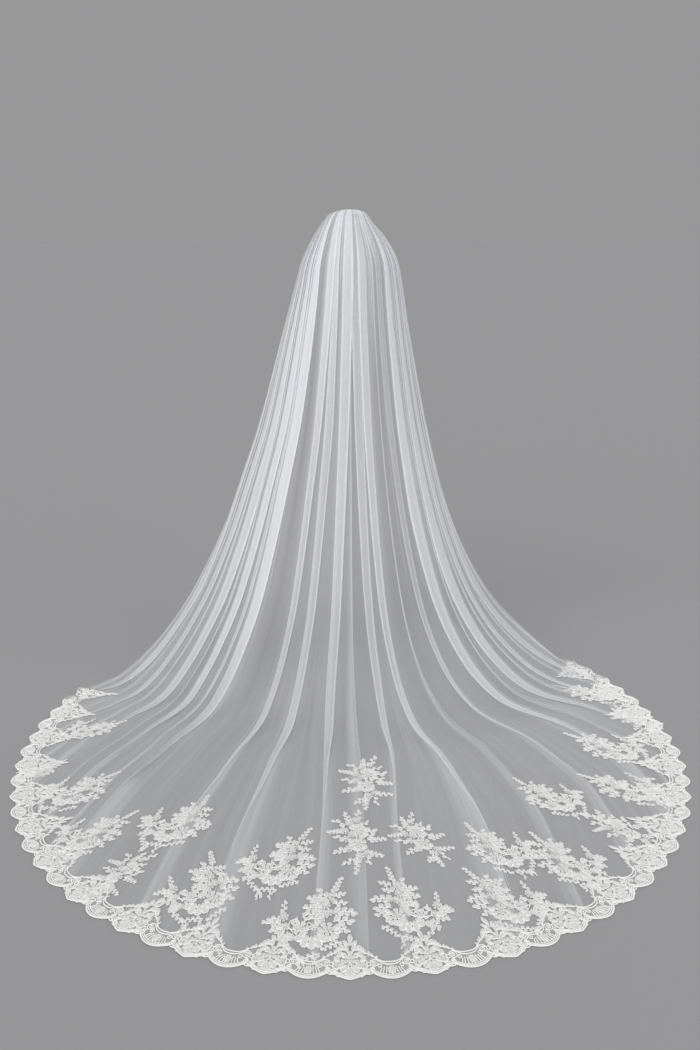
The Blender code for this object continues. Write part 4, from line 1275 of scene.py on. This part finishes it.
def tubes(middle, side, front):
    """Closed tubes: rings middle + cos * side + sin * front, where each is (number, rings,
    3) in flat places.  A ring of no size is a pole."""
    turn = np.linspace(0, 2 * np.pi, TUBE_SIDES + 1)[:, None]
    middle = middle[:, :, None]
    rings = middle + np.cos(turn) * side[:, :, None] + np.sin(turn) * front[:, :, None]
    length = np.linalg.norm(middle - middle[:, :1], axis=-1)[..., None]
    place = np.concatenate([length + 0 * turn, 0 * length + turn * MM], axis=-1)
    return on_comb(np.concatenate([rings, place], axis=-1))


print("comb length", COMB_LENGTH, "bent to a radius of", COMB_RADIUS)

# %% [markdown]
# A moulded bar has no sharp edge, so its section is an ellipse, and its ends are rounded.
# The teeth start inside the bar, which leaves no gap at their roots.

# %% Comb
COMB_TEETH = 17
COMB_MIDDLE = -SEAM - 0.0011  # inwards place of the comb's middle
BAR_TOP = 0.0035
BAR_DEEP = 0.0022
TOOTH_LENGTH = 0.038
TOOTH_WIDTH = 0.0027
TOOTH_DEEP = 0.0020
# share of the length, share of the full size there
BAR_SHAPE = ((0, 0), (0.003, 0.55), (0.01, 0.8), (0.025, 1), (0.975, 1), (0.99, 0.8),
             (0.997, 0.55), (1, 0))
TOOTH_SHAPE = ((-0.04, 0), (-0.04, 1.1), (0.02, 1.1), (0.08, 1), (0.4, 0.9), (0.7, 0.75),
               (0.9, 0.58), (0.97, 0.42), (1, 0))
BAR_EVEN = (0.025, 0.975)    # between these the bar is equally thick
BAR_STEPS = 4                # rings of the bar per tooth there


def comb_bar():
    """One tube along the comb."""
    share, size = np.array(BAR_SHAPE).T
    steps = np.union1d(share, np.linspace(*BAR_EVEN, COMB_TEETH * BAR_STEPS))
    size = np.interp(steps, share, size)
    flat = 0 * steps
    middle = np.stack([(steps - 0.5) * COMB_LENGTH, flat + (BAR_TOP + BAR_BOTTOM) / 2,
                       flat + COMB_MIDDLE], axis=-1)
    side = np.stack([flat, size * (BAR_TOP - BAR_BOTTOM) / 2, flat], axis=-1)
    front = np.stack([flat, flat, size * BAR_DEEP / 2], axis=-1)
    return tubes(middle[None], side[None], front[None])


def comb_teeth():
    """A tube down each tooth, the teeth evenly spaced along the bar."""
    share, size = np.array(TOOTH_SHAPE).T
    u = ((np.arange(COMB_TEETH) + 0.5) / COMB_TEETH - 0.5)[:, None] * COMB_LENGTH
    flat = 0 * (u + share)
    middle = np.stack([u + flat, BAR_BOTTOM - share * TOOTH_LENGTH + flat,
                       flat + COMB_MIDDLE], axis=-1)
    side = np.stack([size * TOOTH_WIDTH / 2 + flat, flat, flat], axis=-1)
    front = np.stack([flat, flat, size * TOOTH_DEEP / 2 + flat], axis=-1)
    return tubes(middle, side, front)


def comb_finish():
    """Clear moulded plastic: a glossy body that lets light through, with faint flow marks
    that change its gloss along the moulding."""
    material, start = new_finish("clear_comb")
    cloud = mottle(start, 90.0, detail=3.0)
    tone = blended(cloud, (0.80, 0.81, 0.82, 1), (0.93, 0.93, 0.92, 1))
    dress(start.node("ShaderNodeBsdfPrincipled", Base_Color=tone, Roughness=cloud * 0.16 + 0.06,
                     Transmission_Weight=0.65, IOR=1.49))
    return material


piece_of("clear_comb", [comb_bar(), comb_teeth()], comb_finish(), ["hair_comb"])

# %% [markdown]
# The ribbon is one flattened tube, because its raw edges are turned in.  Its height and
# place swell between the stitches, a little unevenly, and the stitches sink into it.

# %% Ribbon and stitches
RIBBON_MIDDLE = 0.0027       # inwards place of its middle
RIBBON_TOP = 0.0045
RIBBON_DEEP = 0.0012
RIBBON_STEPS = 260
STITCHES = 34
STITCH_STEPS = 7             # points along a stitch
PUCKER = 0.0003              # how far the ribbon swells between two stitches
PUCKER_SHARES = (0.5, 1.2)   # least and most of it
PUCKER_SEED = 7
RIBBON_ROUND = 0.35          # below 1 the section is a rounded box
FLOAT_PITCH = 0.00035        # of the satin's threads across the ribbon
# in mm
STITCH_RADIUS = 0.22
STITCH_SLANT = 0.9
STITCH_LENGTH = 6.4
STITCH_START = 0.2           # above the ribbon's lower edge


def ribbon_band():
    """The ribbon: half its height is swollen by pucker * |sin|, with a zero at each
    stitch, and each swelling has its own size.  Its section is a rounded box, where the
    cosine and the sine are raised to a power below 1, and its ends close."""
    share = np.linspace(0, 1, RIBBON_STEPS)
    swell = np.random.default_rng(PUCKER_SEED).uniform(*PUCKER_SHARES, STITCHES)
    number = np.minimum(share * STITCHES, STITCHES - 1).astype(int)
    swell = PUCKER * swell[number] * np.abs(np.sin(np.pi * share * STITCHES))
    closed = np.clip(np.minimum(share, 1 - share) * RIBBON_STEPS / 2, 0, 1) ** 0.5
    turn = np.linspace(0, 2 * np.pi, 4 * TUBE_SIDES + 1)
    high = np.sign(np.cos(turn)) * np.abs(np.cos(turn)) ** RIBBON_ROUND
    deep = np.sign(np.sin(turn)) * np.abs(np.sin(turn)) ** RIBBON_ROUND
    half = ((RIBBON_TOP - BAR_BOTTOM) / 2 - PUCKER / 2 + swell) * closed
    up = (RIBBON_TOP + BAR_BOTTOM) / 2 + half[:, None] * high
    inwards = RIBBON_MIDDLE + (RIBBON_DEEP / 2 * closed + 0.4 * swell)[:, None] * deep
    u = (share - 0.5)[:, None] * COMB_LENGTH + 0 * turn
    flat = np.stack([u, up, inwards, u, up + 0.1 * inwards], axis=-1)
    return on_comb(flat[None])


def stitch_threads():
    """Short slanting cords over the ribbon's face, one at each pinch."""
    u = (np.arange(1, STITCHES) / STITCHES - 0.5)[:, None] * COMB_LENGTH / MM
    t = np.linspace(0, 1, STITCH_STEPS)[None]
    up = (BAR_BOTTOM / MM + STITCH_START) + STITCH_LENGTH * t
    path = np.stack([u + STITCH_SLANT * (t - 0.5), up + 0 * u], axis=-1)
    thread = cords(path, STITCH_RADIUS, 0.0)[:, :, ::-1]
    thread[..., :3] *= MM
    thread[..., 2] += RIBBON_MIDDLE + RIBBON_DEEP / 2 - 0.5 * STITCH_RADIUS * MM
    return on_comb(thread)


def satin_finish():
    """Satin: lengthwise floats are a fine wave across the ribbon, and the sheen of the
    weave changes slowly along it."""
    material, start = new_finish("satin_ribbon")
    along, across = cloth_place(start)
    drift = mottle(start, 60.0)
    float_wave = across.wave(FLOAT_PITCH) * 0.5 + 0.5
    white = blended(drift * 0.7 + float_wave * 0.3, (0.80, 0.80, 0.79, 1), (0.92, 0.92, 0.91, 1))
    bump = start.node("ShaderNodeBump", Strength=0.4, Distance=0.00006,
                      Height=float_wave + along.wave(0.0009) * 0.2)
    dress(start.node("ShaderNodeBsdfPrincipled", Base_Color=white, Roughness=drift * 0.16 + 0.32,
                     Normal=bump, Sheen_Weight=0.3))
    return material


piece_of("satin_ribbon", [ribbon_band(), stitch_threads()], satin_finish(),
         ["comb_binding"])
